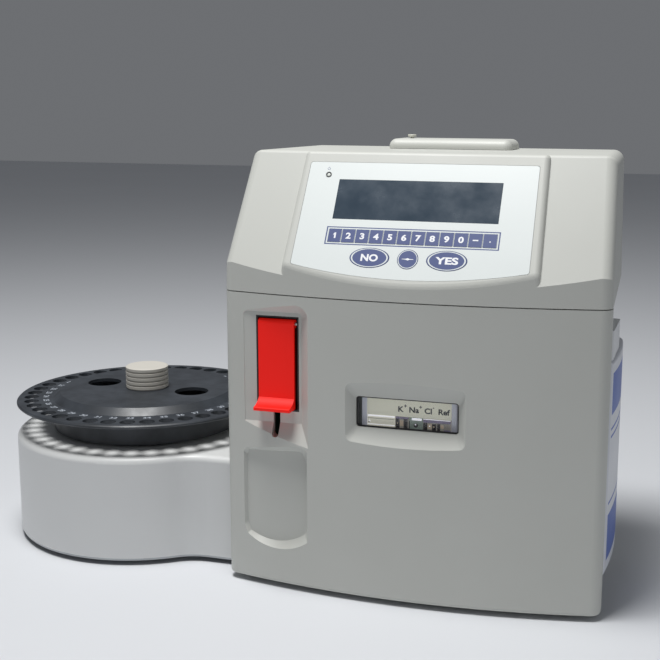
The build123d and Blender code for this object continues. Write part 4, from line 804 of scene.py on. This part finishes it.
heads, recesses = [], []
rear_middle = (REAR_LEFT + REAR_RIGHT) / 2
screw_rows = (REAR_LOW + SCREW_INSET, REAR_TOP - SCREW_INSET)
screw_columns = (REAR_LEFT + SCREW_INSET, rear_middle, REAR_RIGHT - SCREW_INSET)
screw_places = [(x, z) for x in screw_columns for z in screw_rows]
head_profile = [(SCREW_RADIUS, 0.02), (SCREW_RADIUS, 0.5), (2.5, 1.0), (1.7, 1.38), (1.0, SCREW_HEIGHT)]
for x, z in screw_places:
    matrix = rear_matrix(x, z)
    points, faces = turned(head_profile)
    heads.append((placed(points, matrix), faces))
    for half_u, half_v in ((1.3, 0.28), (0.28, 1.3)):
        bar = rectangle(-half_u, half_u, -half_v, half_v)
        points, faces = slab(bar, RECESS_FLOOR * MM, (SCREW_HEIGHT + RECESS_PROUD) * MM)
        recesses.append((placed(points, matrix), faces))
points, faces = joined(heads)
piece("rear_screws", points, faces, "steel", "analyzer")
points, faces = joined(recesses)
piece("rear_screw_recesses", points, faces, "black", "analyzer")
print("rear screws", len(screw_places))

# %% [markdown]
# ## Marks on the rocker switch
# The rocker has two flat faces that slope away from its middle line. The bar on the upper
# face means on and the ring on the lower face means off, as on most mains switches. They
# ride on the rocker, so they tilt with it.

# %%
ROCKER_X, ROCKER_Z, ROCKER_PROUD = 105.0, 40.0, 1.85
ROCKER_RISE, ROCKER_SLOPE = 4.75, 0.7 / 9.5


def rocker_matrix(side):
    """Plane on the rocker's upper face for side 1 and on its lower face for side -1."""
    height = (ROCKER_Z + side * ROCKER_RISE) * MM
    origin = Vector((UNIT_X + ROCKER_X * MM, REAR_FACE + ROCKER_PROUD * MM, height))
    return plane_matrix(origin, Vector((-1, 0, 0)), Vector((0, -side * ROCKER_SLOPE, 1)).normalized())


on_points, on_faces = slab(rectangle(-0.45, 0.45, -2.4, 2.4), 0.01 * MM, 0.06 * MM)
off_points, off_faces = ring(1.7, 2.4, 0.01, 0.06)
points, faces = joined([(placed(on_points, rocker_matrix(1)), on_faces),
                        (placed(off_points, rocker_matrix(-1)), off_faces)])
piece("rocker_marks", points, faces, "ink_white", "rocker")

# %% [markdown]
# ## Floor
# The object stands on a plain pale floor.

# %%
FLOOR_REACH = 6
floor_corners = [(-FLOOR_REACH, -FLOOR_REACH, 0), (FLOOR_REACH, -FLOOR_REACH, 0),
                 (FLOOR_REACH, FLOOR_REACH, 0), (-FLOOR_REACH, FLOOR_REACH, 0)]
floor_mesh = bpy.data.meshes.new("floor")
floor_mesh.from_pydata(floor_corners, [], [(0, 1, 2, 3)])
floor = bpy.data.objects.new("floor", floor_mesh)
bpy.context.collection.objects.link(floor)
floor_mesh.materials.append(plastic("floor_pale", srgb(214, 216, 220), srgb(210, 212, 216), (0.7, 0.8),
                                    60.0, 0.0, drift=1.5))
print("floor half width", FLOOR_REACH)

# %% [markdown]
# ## Light
# A fairly small lamp overhead gives the main light and the shadow. Two weak lamps, in front
# and on the right, and a pale surround lift the shaded sides.

# %%
def area_light(name, place, target, size, power, color=(1, 1, 1)):
    """Square lamp at place, pointed at target."""
    lamp = bpy.data.lights.new(name, "AREA")
    lamp.shape = "SQUARE"
    lamp.size = size
    lamp.energy = power
    lamp.color = color
    thing = bpy.data.objects.new(name, lamp)
    bpy.context.collection.objects.link(thing)
    thing.location = place
    thing.rotation_euler = (Vector(target) - Vector(place)).to_track_quat("-Z", "Y").to_euler()
    return thing


area_light("overhead", (-0.15, -0.33, 1.88), (0.0, 0.0, 0.2), 0.6, 34.5, (1.0, 1.0, 0.99))
area_light("front", (-0.7, -2.2, 1.2), (0.0, 0.0, 0.2), 1.4, 0.8, (1.0, 1.0, 0.99))
area_light("right", (1.9, -0.6, 1.0), (0.1, 0.0, 0.2), 1.2, 1.5, (0.97, 0.98, 1.0))

world = bpy.data.worlds.new("surround")
bpy.context.scene.world = world
world.use_nodes = True
surround = world.node_tree.nodes["Background"]
surround.inputs["Color"].default_value = (0.80, 0.83, 0.88, 1)
surround.inputs["Strength"].default_value = 0.19
print("lamps", len(bpy.data.lights))

# %% [markdown]
# ## Camera
# The camera was solved from the casing's edges in the photograph, which gave its place, its
# angles, its focal length and the picture's optical middle in pixels. The shift puts that
# middle where the photograph has it.

# %%
IMAGE_SIZE = 660
FOCAL_PIXELS = 1163.66
OPTICAL_X, OPTICAL_Y = 381.67, 314.79
SENSOR_WIDTH = 36.0
CAMERA_PLACE = (0.33654, -0.93078, 0.37925)
CAMERA_YAW, CAMERA_PITCH, CAMERA_ROLL = 16.107, 10.173, 0.334

camera_data = bpy.data.cameras.new("camera")
camera_data.sensor_width = SENSOR_WIDTH
camera_data.lens = FOCAL_PIXELS / IMAGE_SIZE * SENSOR_WIDTH
camera_data.shift_x = (IMAGE_SIZE / 2 - OPTICAL_X) / IMAGE_SIZE
camera_data.shift_y = (OPTICAL_Y - IMAGE_SIZE / 2) / IMAGE_SIZE
camera_data.clip_start = 0.01
camera = bpy.data.objects.new("camera", camera_data)
bpy.context.collection.objects.link(camera)
yaw, pitch, roll = radians(CAMERA_YAW), radians(CAMERA_PITCH), radians(CAMERA_ROLL)
forward = Vector((-sin(yaw) * cos(pitch), cos(yaw) * cos(pitch), -sin(pitch)))
right = forward.cross(Vector((0, 0, 1))).normalized()
up = right.cross(forward)
turned_right = right * cos(roll) + up * sin(roll)
turned_up = up * cos(roll) - right * sin(roll)
spin = Matrix((turned_right, turned_up, -forward)).transposed()
camera.matrix_world = Matrix.Translation(CAMERA_PLACE) @ spin.to_4x4()
bpy.context.scene.camera = camera

bpy.context.scene.view_settings.view_transform = "Standard"
print("lens", round(camera_data.lens, 3))
print("shift", round(camera_data.shift_x, 5), round(camera_data.shift_y, 5))
